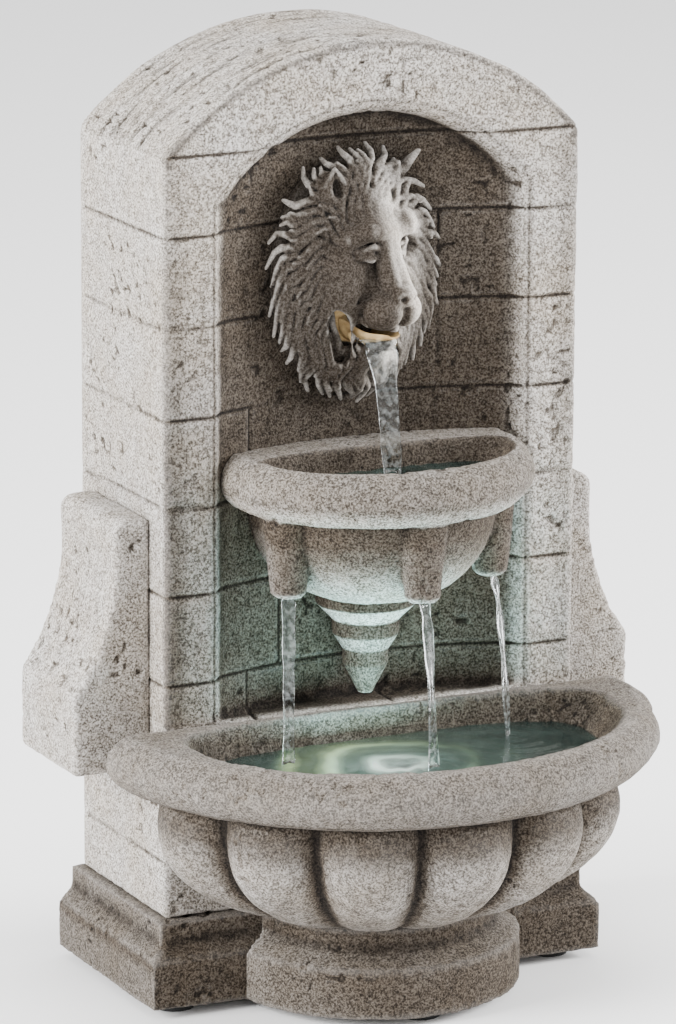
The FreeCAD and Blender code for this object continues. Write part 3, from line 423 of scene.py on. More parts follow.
# %% Arched wall
hollow_half, hollow_front, hollow_top = 0.0862, 0.0235, 0.377
arch_foot, crest_foot = 0.35, 0.352
corner_from, corner_to = 0.0815, 0.089
wall = worn_copy("wall_shell", 1.5 * mm, 3)
spots, facing = points_of(wall), normals_of(wall)
beside, inward, height = np.abs(spots[:, 0]), spots[:, 1] - wall_face, spots[:, 2]
outside = (beside > hollow_half) | (inward < hollow_front) | (height > hollow_top)
outside &= spots[:, 1] < wall_high.y - 6 * mm
niche = outside & (beside < niche_arch["half"] - 1 * mm) & (height < niche_arch["crest"] - 0.7 * mm)
niche &= inward > 1.5 * mm
front = (inward < 3 * mm) & (height > rim_top)
arch_top = slope(0.25, 0.6, facing[:, 2]) * (height > arch_foot)
flank_share = np.where(beside > outer_arch["half"] - 0.3 * mm, 0.55, 1)
joints = joint_depth(spots, niche) * outside * (1 - arch_top) * flank_share
niche_edge = dip(edge_line(spots, **niche_arch)) * front
crest_edge = dip(0.6 * edge_line(spots, **outer_arch)) * front * (height > crest_foot)
streaks = rough(spots * np.array([0.22, 1.6, 0.22]), 5 * mm, 61) * arch_top
push = stone_skin(spots, 1.0) * outside - 0.9 * mm * joints - 0.5 * mm * niche_edge + 0.7 * mm * streaks
set_points(wall, spots + facing * push[:, None])
# The front is darker towards the foot of its left jamb and near its outer corners.
left_jamb = slope(0.0, -0.6, facing[:, 1]) * slope(0.03, -0.03, spots[:, 0]) * slope(0.36, 0.2, height)
corner = slope(corner_from, corner_to, beside) * front * (0.65 + 0.35 * rough(spots, 25 * mm, 83))
# Painted shade, with some stain, deepening into the niche; stain in the streaks, the joints and along the
# arch edges.
shade = np.where(niche, slope(1.5 * mm, 8 * mm, inward), 0.0)
shade += 0.55 * left_jamb + 0.5 * corner + 0.6 * slope(0.05, 0.45, -streaks)
shade += 0.45 * joints + 0.7 * niche_edge + 0.95 * crest_edge
wall_piece = dress_stone("arched_wall", wall, np.clip(shade, 0, 1))
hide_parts("wall_shell")

# %% [markdown]
# ## Where painted shade and stain gather
# The other stone pieces have no joints, so their darkening follows from their shape alone. Painted shadow
# lies under ledges, and painted shade on faces that look to the front, inside the bowls, between the lobes
# and on the drop's upright bands. The bellies of the lobes are painted light, and the underside of the upper
# bowl is painted pale as if lit by the lamp below. Each of these is a small function of place and normal.

# %% Helpers for the painted shade and stain
lobe_hollows = {"reach": 160, "depth": 1.9 * mm}
belly_top, belly_foot, rim_foot = 0.096, 0.066, 0.099
basin_middle, basin_inside = (0, wall_face - 0.045), 0.07
bowl_middle, bowl_inside = (0, wall_face - 0.018), 0.19
spouts_top, lit_underside_top = 0.208, 0.222


def under_ledge(points, normals, edge, fade):
    """Painted shadow under a ledge at height edge, on faces that don't look up."""
    near = slope(-fade, 0, points[:, 2] - edge) * (points[:, 2] < edge + 1 * mm)
    return 0.7 * near * slope(0.5, -0.2, normals[:, 2])


def painted_front_shade(points, normals, strength):
    """Painted shade on faces that look to the front, in soft clouds."""
    clouds = 0.5 + 0.5 * rough(points, 40 * mm, 71)
    return strength * slope(0.1, -0.8, normals[:, 1]) * (0.55 + 0.45 * clouds)


def inner_wall(points, normals, middle):
    """How far each point's face looks towards the upright line through middle, from 0 to 1."""
    away = points[:, :2] - np.array(middle)
    towards = np.sum(away * normals[:, :2], axis=1) / (np.hypot(away[:, 0], away[:, 1]) + 1e-6)
    return slope(0.05, -0.35, towards)


def basin_painted_shading(mesh, points, normals, stain_and_shade):
    """Painted shade inside the basin, most on its right side, painted shadow under its rim, painted shade
    between its lobes and painted light on their bellies.
    """
    inside = inner_wall(points, normals, basin_middle) * (points[:, 2] > basin_inside)
    valleys = measure_hollows(mesh, **lobe_hollows)
    bellies = slope(0.42, 0.2, valleys) * slope(belly_top, belly_foot, points[:, 2])
    # Painted shade inside the basin, growing towards its right side, whose wall looks away from the
    # right-hand light.
    stain_and_shade = stain_and_shade + inside * (0.1 + 0.6 * slope(-0.03, 0.06, points[:, 0]))
    # Painted shade between the lobes and painted light on their bellies.
    stain_and_shade += 0.7 * slope(0.46, 0.64, valleys) - 0.38 * bellies
    return stain_and_shade + under_ledge(points, normals, rim_foot, 26 * mm)


def bowl_painted_shading(mesh, points, normals, stain_and_shade):
    """Darker below spouts_top, painted shade inside the bowl, and painted lamp light that keeps the downward
    faces of its underside pale.
    """
    stain_and_shade = stain_and_shade + 0.2 * (points[:, 2] < spouts_top)
    # Painted lamp light on the faces of the bowl that look down.
    stain_and_shade *= 1 - 0.85 * slope(-0.3, -0.75, normals[:, 2]) * (points[:, 2] < lit_underside_top)
    return stain_and_shade + inner_wall(points, normals, bowl_middle) * (points[:, 2] > bowl_inside)


def drop_painted_shadow(mesh, points, normals, stain_and_shade):
    """Painted shadow on the upright bands between the steps of the drop, under each step above."""
    return stain_and_shade + slope(0.7, 0.4, np.abs(normals[:, 2]))


# The darkening under the rim is painted shadow.
print("stain gathers under the rim, whose top is at", round(rim_top, 3))

# %% [markdown]
# ## Scrolls, plinth, pedestal, bowls and drop
# One loop wears these pieces and paints their stain and shade. What a piece doesn't say for itself, it takes
# from the plain piece.
# A small piece needs finer squares, and the drop is worn less, so that its steps stay clear.
# Squares are given in millimetres, and a ledge by its height in metres.

# %% The other stone pieces
# soak is the share of darkening a piece starts with.
plain_piece = {"voxel": 1.4, "wear": 2, "skin": 1.0, "ledge": 0.0, "soak": 0.0, "painted_front_shade": 0.25, "hollows": {}}
stone_pieces = {
    "left_scroll": {"name": "left_side_scroll"},
    "right_scroll": {"name": "right_side_scroll"},
    "plinth": {"name": "moulded_plinth", "voxel": 1.5, "ledge": 0.031, "soak": 0.84},
    "pedestal": {"name": "round_pedestal", "ledge": 0.04, "soak": 0.72, "painted_front_shade": 0.35},
    "basin": {"name": "lobed_basin", "voxel": 1.3, "skin": 0.9, "ledge": 0.098, "soak": 0.74, "painted_front_shade": 0.1,
              "own_painted_shading": basin_painted_shading, "hollows": lobe_hollows},
    "upper_bowl": {"name": "spouted_bowl", "voxel": 1.0, "skin": 0.8, "ledge": 0.21, "soak": 0.58,
                   "painted_front_shade": 0.2, "own_painted_shading": bowl_painted_shading},
    "stepped_drop": {"name": "scalloped_drop", "voxel": 0.6, "wear": 1, "skin": 0.35, "painted_front_shade": 0.0,
                     "own_painted_shading": drop_painted_shadow}}
dressed = {}
for node, own in stone_pieces.items():
    job = {**plain_piece, **own}
    mesh = worn_copy(node, job["voxel"] * mm, job["wear"])
    spots, facing = points_of(mesh), normals_of(mesh)
    set_points(mesh, spots + facing * stone_skin(spots, job["skin"])[:, None])
    # On top of its soak, painted shadow under the piece's ledge and painted shade on faces that look to the
    # front.
    stain_and_shade = job["soak"] + under_ledge(spots, facing, job["ledge"], 14 * mm) + painted_front_shade(spots, facing, job["painted_front_shade"])
    if "own_painted_shading" in job:
        stain_and_shade = job["own_painted_shading"](mesh, spots, facing, stain_and_shade)
    dressed[node] = dress_stone(job["name"], mesh, np.clip(stain_and_shade, 0, 1), **job["hollows"])
    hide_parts(node)

# %% [markdown]
# ## Clay for the lion
# A lion's face has no flat sides and no outline that could be turned or swept, so a sculptor builds it up:
# lumps and ropes of clay are pressed on, and hollows are cut. The same works with distances on an even grid.
# Each grid point keeps its distance to the clay. Adding a form takes the smaller of two distances,
# cutting takes the larger, and a soft minimum rounds the seam, as a thumb would.

# %% Clay on a grid
def soft_min(first, second, blend):
    """The smaller of two distances, with the seam between the forms rounded over blend."""
    mixing = np.clip(0.5 + 0.5 * (second - first) / blend, 0, 1)
    return second + (first - second) * mixing - blend * mixing * (1 - mixing)


def egg_distance(spots, centre, radii, turn):
    """About how far each spot is from an egg whose radii lie along the directions in turn."""
    away = (spots - centre) @ np.array(turn).T
    share = np.sqrt(np.sum((away / radii) ** 2, axis=-1))
    steep = np.sqrt(np.sum((away / radii ** 2) ** 2, axis=-1)) + 1e-6
    return share * (share - 1) / steep


def rope_distance(spots, path, radii):
    """How far each spot is from a rope that tapers along its path."""
    nearest = np.full(spots.shape[:3], 50.0)
    for start, end, wide, thin in zip(path[:-1], path[1:], radii[:-1], radii[1:]):
        along = end - start
        share = np.clip((spots - start) @ along / (along @ along), 0, 1)
        gap = spots - start - share[..., None] * along
        nearest = np.minimum(nearest, np.sqrt(np.sum(gap ** 2, axis=-1)) - wide - (thin - wide) * share)
    return nearest


class Clay:
    """Distances to the clay in millimetres, on an even grid in the wall's own frame."""

    def __init__(self, low, high, step):
        self.low, self.step = np.array(low, float), step
        self.size = np.ceil((np.array(high) - self.low) / step).astype(int) + 1
        self.field = np.full(self.size, 50.0)

    def near(self, low, high):
        """The grid inside a box, as slices and as points."""
        first = np.clip(np.floor((low - self.low) / self.step).astype(int), 0, self.size - 1)
        last = np.clip(np.ceil((high - self.low) / self.step).astype(int) + 1, first + 1, self.size)
        axes = [self.low[i] + self.step * np.arange(first[i], last[i]) for i in range(3)]
        return tuple(map(slice, first, last)), np.stack(np.meshgrid(*axes, indexing="ij"), axis=-1)

    def shape(self, part, distance, blend, cut):
        sign = -1 if cut else 1
        self.field[part] = sign * soft_min(sign * self.field[part], distance, blend)

    def egg(self, centre, radii, blend, cut=False, turn=np.eye(3)):
        radii = np.array(radii, float)
        margin = radii.max() + 2 * blend + 3
        part, spots = self.near(centre - margin, centre + margin)
        self.shape(part, egg_distance(spots, centre, radii, turn), blend, cut)

    def rope(self, path, radii, blend, cut=False):
        path, radii = np.array(path, float), np.array(radii, float)
        margin = radii.max() + 2 * blend + 2
        part, spots = self.near(path.min(axis=0) - margin, path.max(axis=0) + margin)
        self.shape(part, rope_distance(spots, path, radii), blend, cut)


print("clay ready, seam between two equal distances", soft_min(np.array(1.0), np.array(1.0), 2.0))

# %% [markdown]
# ## A skin over the clay
# The clay's surface is where the distance is nought. Every small cell that the surface passes through gets
# one point, at the middle of the places where it crosses the cell's edges.
# Every grid edge that is crossed gives one four-cornered face between the four cells around it.

# %% Skin of the clay
def cell_points(clay):
    """The skin's points, and a grid that holds each cell's point number, or -1."""
    total, count = np.zeros((*(clay.size - 1), 3)), np.zeros(clay.size - 1)
    for axis in range(3):
        sides = [i for i in range(3) if i != axis]
        for shift in np.ndindex(2, 2):
            window = [slice(None, -1)] * 3
            for side, by in zip(sides, shift):
                window[side] = slice(by, clay.size[side] - 1 + by)
            here = clay.field[tuple(window)]
            window[axis] = slice(1, None)
            there = clay.field[tuple(window)]
            crossed = (here < 0) != (there < 0)
            total[..., axis] += np.where(crossed, here / np.where(crossed, here - there, 1), 0)
            for side, by in zip(sides, shift):
                total[..., side] += by * crossed
            count += crossed
    number = np.full(count.shape, -1)
    number[count > 0] = np.arange(np.sum(count > 0))
    inside = np.argwhere(count > 0) + total[count > 0] / count[count > 0][:, None]
    return clay.low + clay.step * inside, number


def cell_faces(clay, number):
    """One face for each grid edge that the skin crosses, with its front to the outside."""
    faces = []
    for axis in range(3):
        a, b = (axis + 1) % 3, (axis + 2) % 3
        window = [slice(1, -1)] * 3
        window[axis] = slice(None, -1)
        here = clay.field[tuple(window)] < 0
        window[axis] = slice(1, None)
        there = clay.field[tuple(window)] < 0
        for chosen, order in ((here & ~there, 1), (~here & there, -1)):
            cell = np.argwhere(chosen)
            ring = []
            for step_a, step_b in ((0, 0), (1, 0), (1, 1), (0, 1))[::order]:
                corner = cell.copy()
                corner[:, a] += step_a
                corner[:, b] += step_b
                ring.append(number[tuple(corner.T)])
            faces.append(np.stack(ring, axis=1))
    return np.concatenate(faces)


print("skin ready")

# %% [markdown]
# ## The lion's face
# The mask looks a little to its left, so its forms are placed in the head's own directions:
# across the face, out of the face, and up. A form that isn't on the middle line is made on both sides, apart
# from two locks by the far ear. The order matters: skull and cheeks, then brows, eyes and muzzle, and the
# mouth is cut before its lips are laid on. The clay lies on a flat board and is bent to the round of the
# niche at the end.

# %% Face
mask_low, mask_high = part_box("lion_mask")
mane_middle = np.array([mask_low.x + mask_high.x, mask_low.z + mask_high.z]) / 2 / mm
head_turn = math.radians(26)
head_pivot = np.array([mane_middle[0] + 5, 14.0, mane_middle[1]])
head_axes = np.array([[math.cos(head_turn), math.sin(head_turn), 0],
                      [math.sin(head_turn), -math.cos(head_turn), 0], [0, 0, 1]])
clay = Clay(head_pivot - (54, 38, 62), head_pivot + (44, 7, 60), 0.7)


def in_head(spot):
    return head_pivot + np.array(spot) @ head_axes


def face_egg(across, out, up, radii, blend, cut=False):
    for side in ((1, -1) if across else (1,)):
        clay.egg(in_head((side * across, out, up)), radii, blend, cut, head_axes)


def face_rope(path, radii, blend, cut=False, sides=(1, -1)):
    for side in sides:
        clay.rope([in_head((side * a, o, u)) for a, o, u in path], radii, blend, cut)


def shape_skull():
    face_egg(0, -6, 8, (24, 15, 29), 2)
    face_egg(0, 2, 20, (14, 9.5, 14), 5)
    face_egg(14, -1, -4, (11, 11, 19), 6)
    face_egg(0, 5, -9, (11, 12, 12), 5)
    face_egg(0, -1, -35, (10.5, 12, 6), 3)


def shape_brows_and_eyes():
    face_rope([(4, 10.8, 17), (11, 12.4, 19.5), (18, 7, 16.5)], [3.4, 4.4, 3.0], 6)
    face_egg(10.5, 14.6, 10.2, (6.0, 4.6, 3.8), 3, True)
    face_egg(10.2, 9.0, 10.0, (4.2, 3.6, 3.2), 0.8)
    face_rope([(5.5, 11.6, 11.0), (10, 13.2, 13.0), (15.5, 8.6, 10.8)], [1.0, 1.3, 1.0], 1.2)
    face_rope([(5.5, 11.6, 9.0), (10, 12.2, 7.0), (15, 8.6, 8.6)], [0.9, 1.1, 0.9], 1.2)


def shape_muzzle():
    face_rope([(1.6, 3, 30), (2.2, 10.5, 18), (2.6, 13.5, 5), (3.0, 17.5, -5)], [3.4, 3.8, 3.9, 4.2], 2.5)
    face_egg(0, 20.6, -8.0, (6.6, 4.4, 4.6), 1.6)
    face_egg(6.0, 14.5, -14.5, (7.6, 8.4, 7.8), 2)
    face_rope([(0, 26, -11), (0, 24.5, -15), (0, 20, -21)], [0.9, 1.2, 1.2], 1.0, True)
    face_egg(3.8, 24.6, -9.2, (1.9, 2.2, 1.5), 0.8, True)
    face_rope([(7.6, 19, -5), (11.5, 13, -7), (14.5, 8, -10)], [1.0, 1.3, 0.8], 2.0, True)


def shape_mouth():
    face_rope([(19, 0, -6), (19, 1, -18), (16, 1, -32)], [3.0, 5.0, 4.0], 2.0, True)
    face_egg(0, 0, -22, (12, 11, 8), 1.2, True)
    face_rope([(15, -4, -13), (14, -3, -21), (11.5, -1.5, -29)], [2.6, 4.2, 2.8], 1.0, True)
    face_rope([(13.5, -2, -17), (10, 6, -22), (0, 15, -25)], [3.4, 3.4, 2.2], 1.0, True)
    face_rope([(11.5, 0, -28), (7, 8, -27), (0, 13.5, -26)], [2.6, 2.4, 2.0], 1.0, True)
    face_egg(0, -11, -21, (19, 6.5, 14), 0.8)
    for path, radii in lips:
        face_rope(path, radii, 1.0)


def shape_ears():
    face_egg(18.5, -4, 35, (6.0, 5, 7), 3)
    face_egg(18.5, 1.0, 37, (2.6, 3.2, 4), 1.5, True)
    face_rope([(13, -0.5, 33), (15, 1, 39), (19.5, -0.5, 45), (23, -3, 38), (24, -6, 31)],
              [1.7, 1.7, 0.9, 1.6, 1.5], 1.2)
    face_rope([(5, 4, 31), (9, 6.5, 37), (12, 8, 44.5)], [2.6, 2.2, 0.9], 2, sides=(1,))
    face_rope([(11, 2, 35), (16, 7, 42), (20, 11.5, 49)], [3.0, 2.5, 0.9], 2, sides=(1,))


lips = (([(16, -5, -9), (13.5, 2.5, -14), (9.5, 10, -19.5), (0, 16, -22)], [1.3, 1.6, 1.8, 1.6]),
        ([(16, -5, -10), (15.2, -4.5, -21), (12.4, -2.5, -32), (6.5, 7, -31.5), (0, 13.0, -28.5)],
         [1.2, 1.4, 2.0, 2.2, 2.0]))
print("head pivot", [round(x, 1) for x in head_pivot])

# %% [markdown]
# ## The mane
# The mane is a low dome with four rows of strands on it, each row over the one behind it.
# Strands grow outward, the ones at the sides droop, and neighbours lean together into locks.
# On the far side of the turned head the mane lies lower, so that brow and cheek stand clear of it.
# A seeded random generator varies the strands, so that every run gives the same mane.

# %% Mane
niche_round, niche_depth, back_gap = 174.0, 19.0, 0.4
mane_left, mane_right, mane_up = 41.0, 38.5, 52.0
mane_edge, mane_dome, far_side_loss = 3.6, 12.0, 0.62
mane_rows = (
    {"strands": 58, "from": 0.76, "to": 1.01, "thick": 2.1},
    {"strands": 52, "from": 0.64, "to": 0.91, "thick": 2.1},
    {"strands": 46, "from": 0.52, "to": 0.79, "thick": 2.0},
    {"strands": 38, "from": 0.41, "to": 0.66, "thick": 1.9})
strand_steps = 6
lock_count = 14
chance = np.random.default_rng(7)


def mane_spot(angle, share, lift):
    """A place on the mane at a share of its half size, lifted off the dome."""
    across = mane_right if math.cos(angle) > 0 else mane_left
    x = share * across * math.cos(angle)
    height = mane_edge + mane_dome * math.sqrt(max(0, 1 - share ** 2)) + lift
    height *= 1 - far_side_loss * max(0, x) / mane_right
    z = share * mane_up * math.sin(angle)
    return np.array([mane_middle[0] + x, niche_depth - height, mane_middle[1] + z])


def strand(row, number):
    """The line of one strand from its root to its tip, and its radius along the way."""
    angle = 2 * math.pi * (number + chance.uniform(-0.2, 0.2)) / row["strands"]
    droop = -0.34 * math.cos(angle) * (1 if math.sin(angle) < 0.8 else 0.3)
    lock = lock_count * angle + 9 * row["from"]
    reach = row["to"] * (1 + 0.03 * math.cos(lock) + chance.uniform(-0.02, 0.02))
    path, radii = [], []
    for u in np.linspace(0, 1, strand_steps):
        curl = 0.05 * math.sin(2 * math.pi * u + 0.5 * number)
        bend = droop * u ** 1.4 + 0.04 * math.sin(lock) * u + curl
        path.append(mane_spot(angle + bend, row["from"] + (reach - row["from"]) * u, 2.6 * u - 0.8))
        radii.append(row["thick"] * (1 - 0.6 * u ** 2))
    return path, radii


def shape_mane():
    for aside, radii in ((-4, (34, 13, 48)), (6, (28, 5, 46))):
        clay.egg(np.array([mane_middle[0] + aside, niche_depth, mane_middle[1]]), radii, 2)
    for row in mane_rows:
        for number in range(row["strands"]):
            clay.rope(*strand(row, number), 0.4)


shape_mane()
print("mane of", sum(row["strands"] for row in mane_rows), "strands")

# %% [markdown]
# ## From clay to a stone mask
# The head is pressed onto the mane, the back is cut flat, and the whole is bent to the round of the niche.
# The near half of the mouth keeps the ochre of the raw casting and its far half is painted in shade, so the
# points in it have to be found. They lie in a room behind the lips, whose roof slopes down to the middle of
# the face.

# %% Skin of the mask
# The near half of the mouth shows bare ochre; the far half is painted in shade.
near_mouth, far_mouth = (-15.5, 0), (2, 16)
mouth_front, mouth_back, mouth_floor = 4, -10, -28.5
mouth_roof, mouth_half = -12, 14
for shape_part in (shape_skull, shape_brows_and_eyes, shape_muzzle, shape_mouth, shape_ears):
    shape_part()
grid_spots = clay.near(clay.low, clay.low + clay.step * clay.size)[1]
clay.field = np.maximum(clay.field, grid_spots[..., 1] - niche_depth + back_gap)
skin, number = cell_points(clay)


def bent(points):
    """Points on the flat board, bent to the round of the niche."""
    sag = niche_round - np.sqrt(niche_round ** 2 - points[:, 0] ** 2)
    return points - np.stack([np.zeros_like(sag), sag, np.zeros_like(sag)], axis=1)


def in_mouth(points, between):
    """1 for points inside the mouth, away from the lips and between two distances across it."""
    across, out, up = ((points - head_pivot) @ head_axes.T).T
    room = (across > between[0]) & (across < between[1]) & (up > mouth_floor)
    room &= (out < mouth_front) & (out > mouth_back)
    room &= up < mouth_roof - 0.6 * np.maximum(0, mouth_half - np.abs(across))
    for path, radii in lips:
        for side in (1, -1):
            path_here = np.array([in_head((side * a, o, u)) for a, o, u in path])
            room &= rope_distance(points[:, None, None], path_here, np.array(radii))[:, 0, 0] > 0.5
    return room.astype(float)


print("skin of", len(skin), "points")

# %% [markdown]
# ## Painted shade on the mask
# The near side of the face is painted in shade, and the far side and the faces that look right are painted
# light, as if lit from the right. Between the locks the darkening is stain and painted shade, and the board
# round the mane gets a painted shadow. Ridges such as brows, ears and strands are painted paler, as
# highlights, and the far half of the mouth is painted dark. How far a point stands off the board, which side
# of the face it is on, and how hollow its place is together say how dark it is painted.

# %% Lion mask
def lion_shade_and_stain(mesh, normals):
    """How dark each point of the mask is painted, from 0 to 1, with stain and painted shade."""
    across = (skin - head_pivot) @ head_axes[0]
    above_board = niche_depth - skin[:, 1]
    gaps = slope(0.30, 0.62, measure_hollows(mesh, 12, 0.6 * mm))
    relief = measure_hollows(mesh, 60, 1.5 * mm)
    # Painted light on the far side and on faces that look right, except in the deeper hollows.
    painted_light = slope(-10, 6, across) * slope(6, 14, above_board) * slope(-0.25, 0.5, normals[:, 0])
    painted_light *= 1 - 0.8 * slope(0.48, 0.66, relief)
    # Painted shade on the near side; stain and painted shade in the gaps; ridges paler as painted highlights.
    lion_darkness = 0.88 + 0.12 * slope(9, 14, above_board) + 0.13 * gaps - 0.26 * slope(0.40, 0.22, relief)
    lion_darkness = (1 - painted_light) * np.minimum(lion_darkness, 1)
    # Painted shadow on the board round the mane.
    lion_darkness = np.maximum(lion_darkness, slope(4.5, 2.5, above_board))
    # The far half of the mouth is painted in shade.
    return np.clip(np.where(in_mouth(skin, far_mouth) > 0, 1.0, lion_darkness), 0, 1)


lion_mesh = bpy.data.meshes.new("lion_mask_carved")
lion_mesh.from_pydata(bent(skin) * mm + np.array([0, wall_face, 0]), [], cell_faces(clay, number).tolist())
lion_mesh.update()
spots, facing = points_of(lion_mesh), normals_of(lion_mesh)
set_points(lion_mesh, spots + facing * stone_skin(spots, 0.25)[:, None])
write_number(lion_mesh, "ochre", in_mouth(skin, near_mouth))
# The lion's stone is paler than cast_stone and its brown darker, for its painted light and shade.
lion_stain_and_shade = (0.045, 0.034, 0.024)
lion_stone = stone_finish("lion_stone", (0.72, 0.69, 0.65), (0.62, 0.56, 0.49), lion_stain_and_shade, 0.55, 0.1)
lion = dress_stone("lion_mask_carved", lion_mesh, lion_shade_and_stain(lion_mesh, facing), lion_stone, 12, 0.45 * mm)
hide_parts("lion_mask")

# %% [markdown]
# ## The trough in the mouth
# The water runs out over a tongue-like trough of bare ochre casting. It is a thin sheet bent to a U,
# wide in the throat and narrow at the lip, so it is made as rows of points from the throat to the lip,
# once for the upper side and once for the under side.

# %% Mouth trough
ochre, ochre_shader = new_finish("ochre_stone", 0.7, 0.3)
ochre_cloud = noise(ochre, 260.0, 4.0)
plug(ochre, ramp(ochre, ochre_cloud, *ochre_tones), ochre_shader, "Base Color")
raise_grain(ochre, ochre_shader, ochre_cloud, 0.4, 0.0005)
trough_out = (-5, 2, 7, 12, 16.5)
trough_half = (11.5, 10.5, 8.5, 5.5, 3.2)
trough_floor = (-29.0, -29.0, -28.4, -26.6, -25.4)
trough_rise = (12.0, 9.0, 5.0, 2.6, 1.2)
trough_sides = np.linspace(-1, 1, 13)


def trough_side(lift):
    """The trough's points, moved up by lift."""
    rows = []
    for out, half, floor_up, rise in zip(trough_out, trough_half, trough_floor, trough_rise):
        across = half * np.sin(trough_sides * math.pi / 2)
        up_by = floor_up + rise * (1 - np.cos(trough_sides * math.pi / 2)) + lift
        rows.append(np.stack([across, np.full_like(across, out), up_by], axis=1))
    return np.array(rows)


def closed_sheet(upper, lower):
    """A closed mesh from two equal grids of points, one above the other."""
    rows, columns = upper.shape[:2]
    points = np.concatenate([upper.reshape(-1, 3), lower.reshape(-1, 3)])
    at = np.arange(rows * columns).reshape(rows, columns)
    quads = np.stack([at[:-1, :-1], at[:-1, 1:], at[1:, 1:], at[1:, :-1]], axis=-1).reshape(-1, 4)
    edge = np.concatenate([at[0, :-1], at[:-1, -1], at[-1, :0:-1], at[:0:-1, 0]])
    beyond = np.roll(edge, -1)
    other = rows * columns
    sides = np.stack([edge, edge + other, beyond + other, beyond], axis=1)
    return points, np.concatenate([quads, quads[:, ::-1] + other, sides])


points, faces = closed_sheet(trough_side(0.0), trough_side(-1.6))
trough_mesh = bpy.data.meshes.new("ochre_trough")
trough_mesh.from_pydata(bent(in_head(points)) * mm + np.array([0, wall_face, 0]), [], faces.tolist())
trough_mesh = after_modifiers(trough_mesh, ("SUBSURF", {"levels": 2}))
trough_mesh.materials.append(ochre)
trough_mesh.shade_smooth()
trough = link_new("ochre_trough", trough_mesh)
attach(trough, "root")
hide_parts("mouth_spout")
print("trough", len(trough_mesh.vertices), "points")

# %% [markdown]
# ## Pools
# The water in the two bowls has a level top with ripples round the places where a stream lands.
# Its edge follows the stone: from the middle of the pool a ray is sent out in each direction,
# and where it meets the stone the water ends, a little inside the wall so that no gap shows.
# Pools and streams are both made of rings of points, so one helper closes either into a piece of water.

# %% Helpers for pools
water_rings = 46
water_spokes = 180


def full_turn(steps):
    """Evenly spaced angles once round."""
    return np.linspace(0, 2 * math.pi, steps, endpoint=False)


def water_piece(name, rings, finish):
    """A closed piece of water from rings of points, with a face over each end."""
    at = np.arange(rings.shape[0] * rings.shape[1]).reshape(rings.shape[:2])
    next_at = np.roll(at, -1, axis=1)
    quads = np.stack([at[:-1], at[1:], next_at[1:], next_at[:-1]], axis=-1).reshape(-1, 4).tolist()
    mesh = bpy.data.meshes.new(name)
    mesh.from_pydata(rings.reshape(-1, 3), [], quads + [at[0].tolist(), at[-1][::-1].tolist()])
    mesh.materials.append(finish)
    mesh.shade_smooth()
    water = link_new(name, mesh)
    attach(water, "root")


def shore(piece, middle):
    """How far the water reaches from the middle of a pool, for each spoke."""
    reach = []
    for turn in full_turn(water_spokes):
        found, spot = piece.ray_cast(middle, (math.cos(turn), math.sin(turn), 0))[:2]
        reach.append((spot - middle).length if found else 0.02)
    reach = np.array(reach)
    return np.minimum(reach, (np.roll(reach, 1) + np.roll(reach, -1)) / 2) + 0.7 * mm


def ripples(points, landings):
    """How far the water stands above its level."""
    height = 0.25 * mm * rough(points * np.array([1, 1, 0]), 16 * mm, 91)
    for x, y, strength in landings:
        away = np.hypot(points[:, 0] - x, points[:, 1] - y)
        height += strength * mm * np.exp(-away / (17 * mm)) * np.cos(2 * math.pi * away / (7.5 * mm))
    return height


def pool(name, piece, middle, landings, finish):
    """A closed slab of water inside a stone piece, with its top at the height of middle."""
    reach = shore(piece, middle)
    turns = full_turn(water_spokes)
    shares = np.linspace(0.01, 1, water_rings)
    flat = shares[:, None, None] * (reach[:, None] * np.stack([np.cos(turns), np.sin(turns)], axis=1))[None]
    top = np.concatenate([flat, np.zeros((water_rings, water_spokes, 1))], axis=2) + np.array(middle)
    top[..., 2] += ripples(top.reshape(-1, 3), landings).reshape(water_rings, water_spokes)
    foot = top[::-1] - np.array([0, 0, 2.5 * mm])
    water_piece(name, np.concatenate([top, foot]), finish)
    print(name, "reaches", round(float(reach.max() / mm)), "mm from its middle")


print("pools ready")

# %% [markdown]
# ## Water finishes
# Still water is almost clear and very smooth. It is made part see-through with the alpha value,
# which also lets the lamp's light pass without the noise that true refraction brings.
# The lamp's cool glow in it, drawn by the moving water into bright rings, is painted on by the finish as
# emitted light, brighter on the left and with a white highlight at the middle. Falling water is clear glass
# to the eye, so it bends the light behind it, and its brightest threads are painted glints that give off a
# faint glow.

# %% Water finishes
lamp_low, lamp_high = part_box("lamp_lens")
lamp_middle = (lamp_low + lamp_high) / 2
lower_level, upper_level = 108.0, 222.0


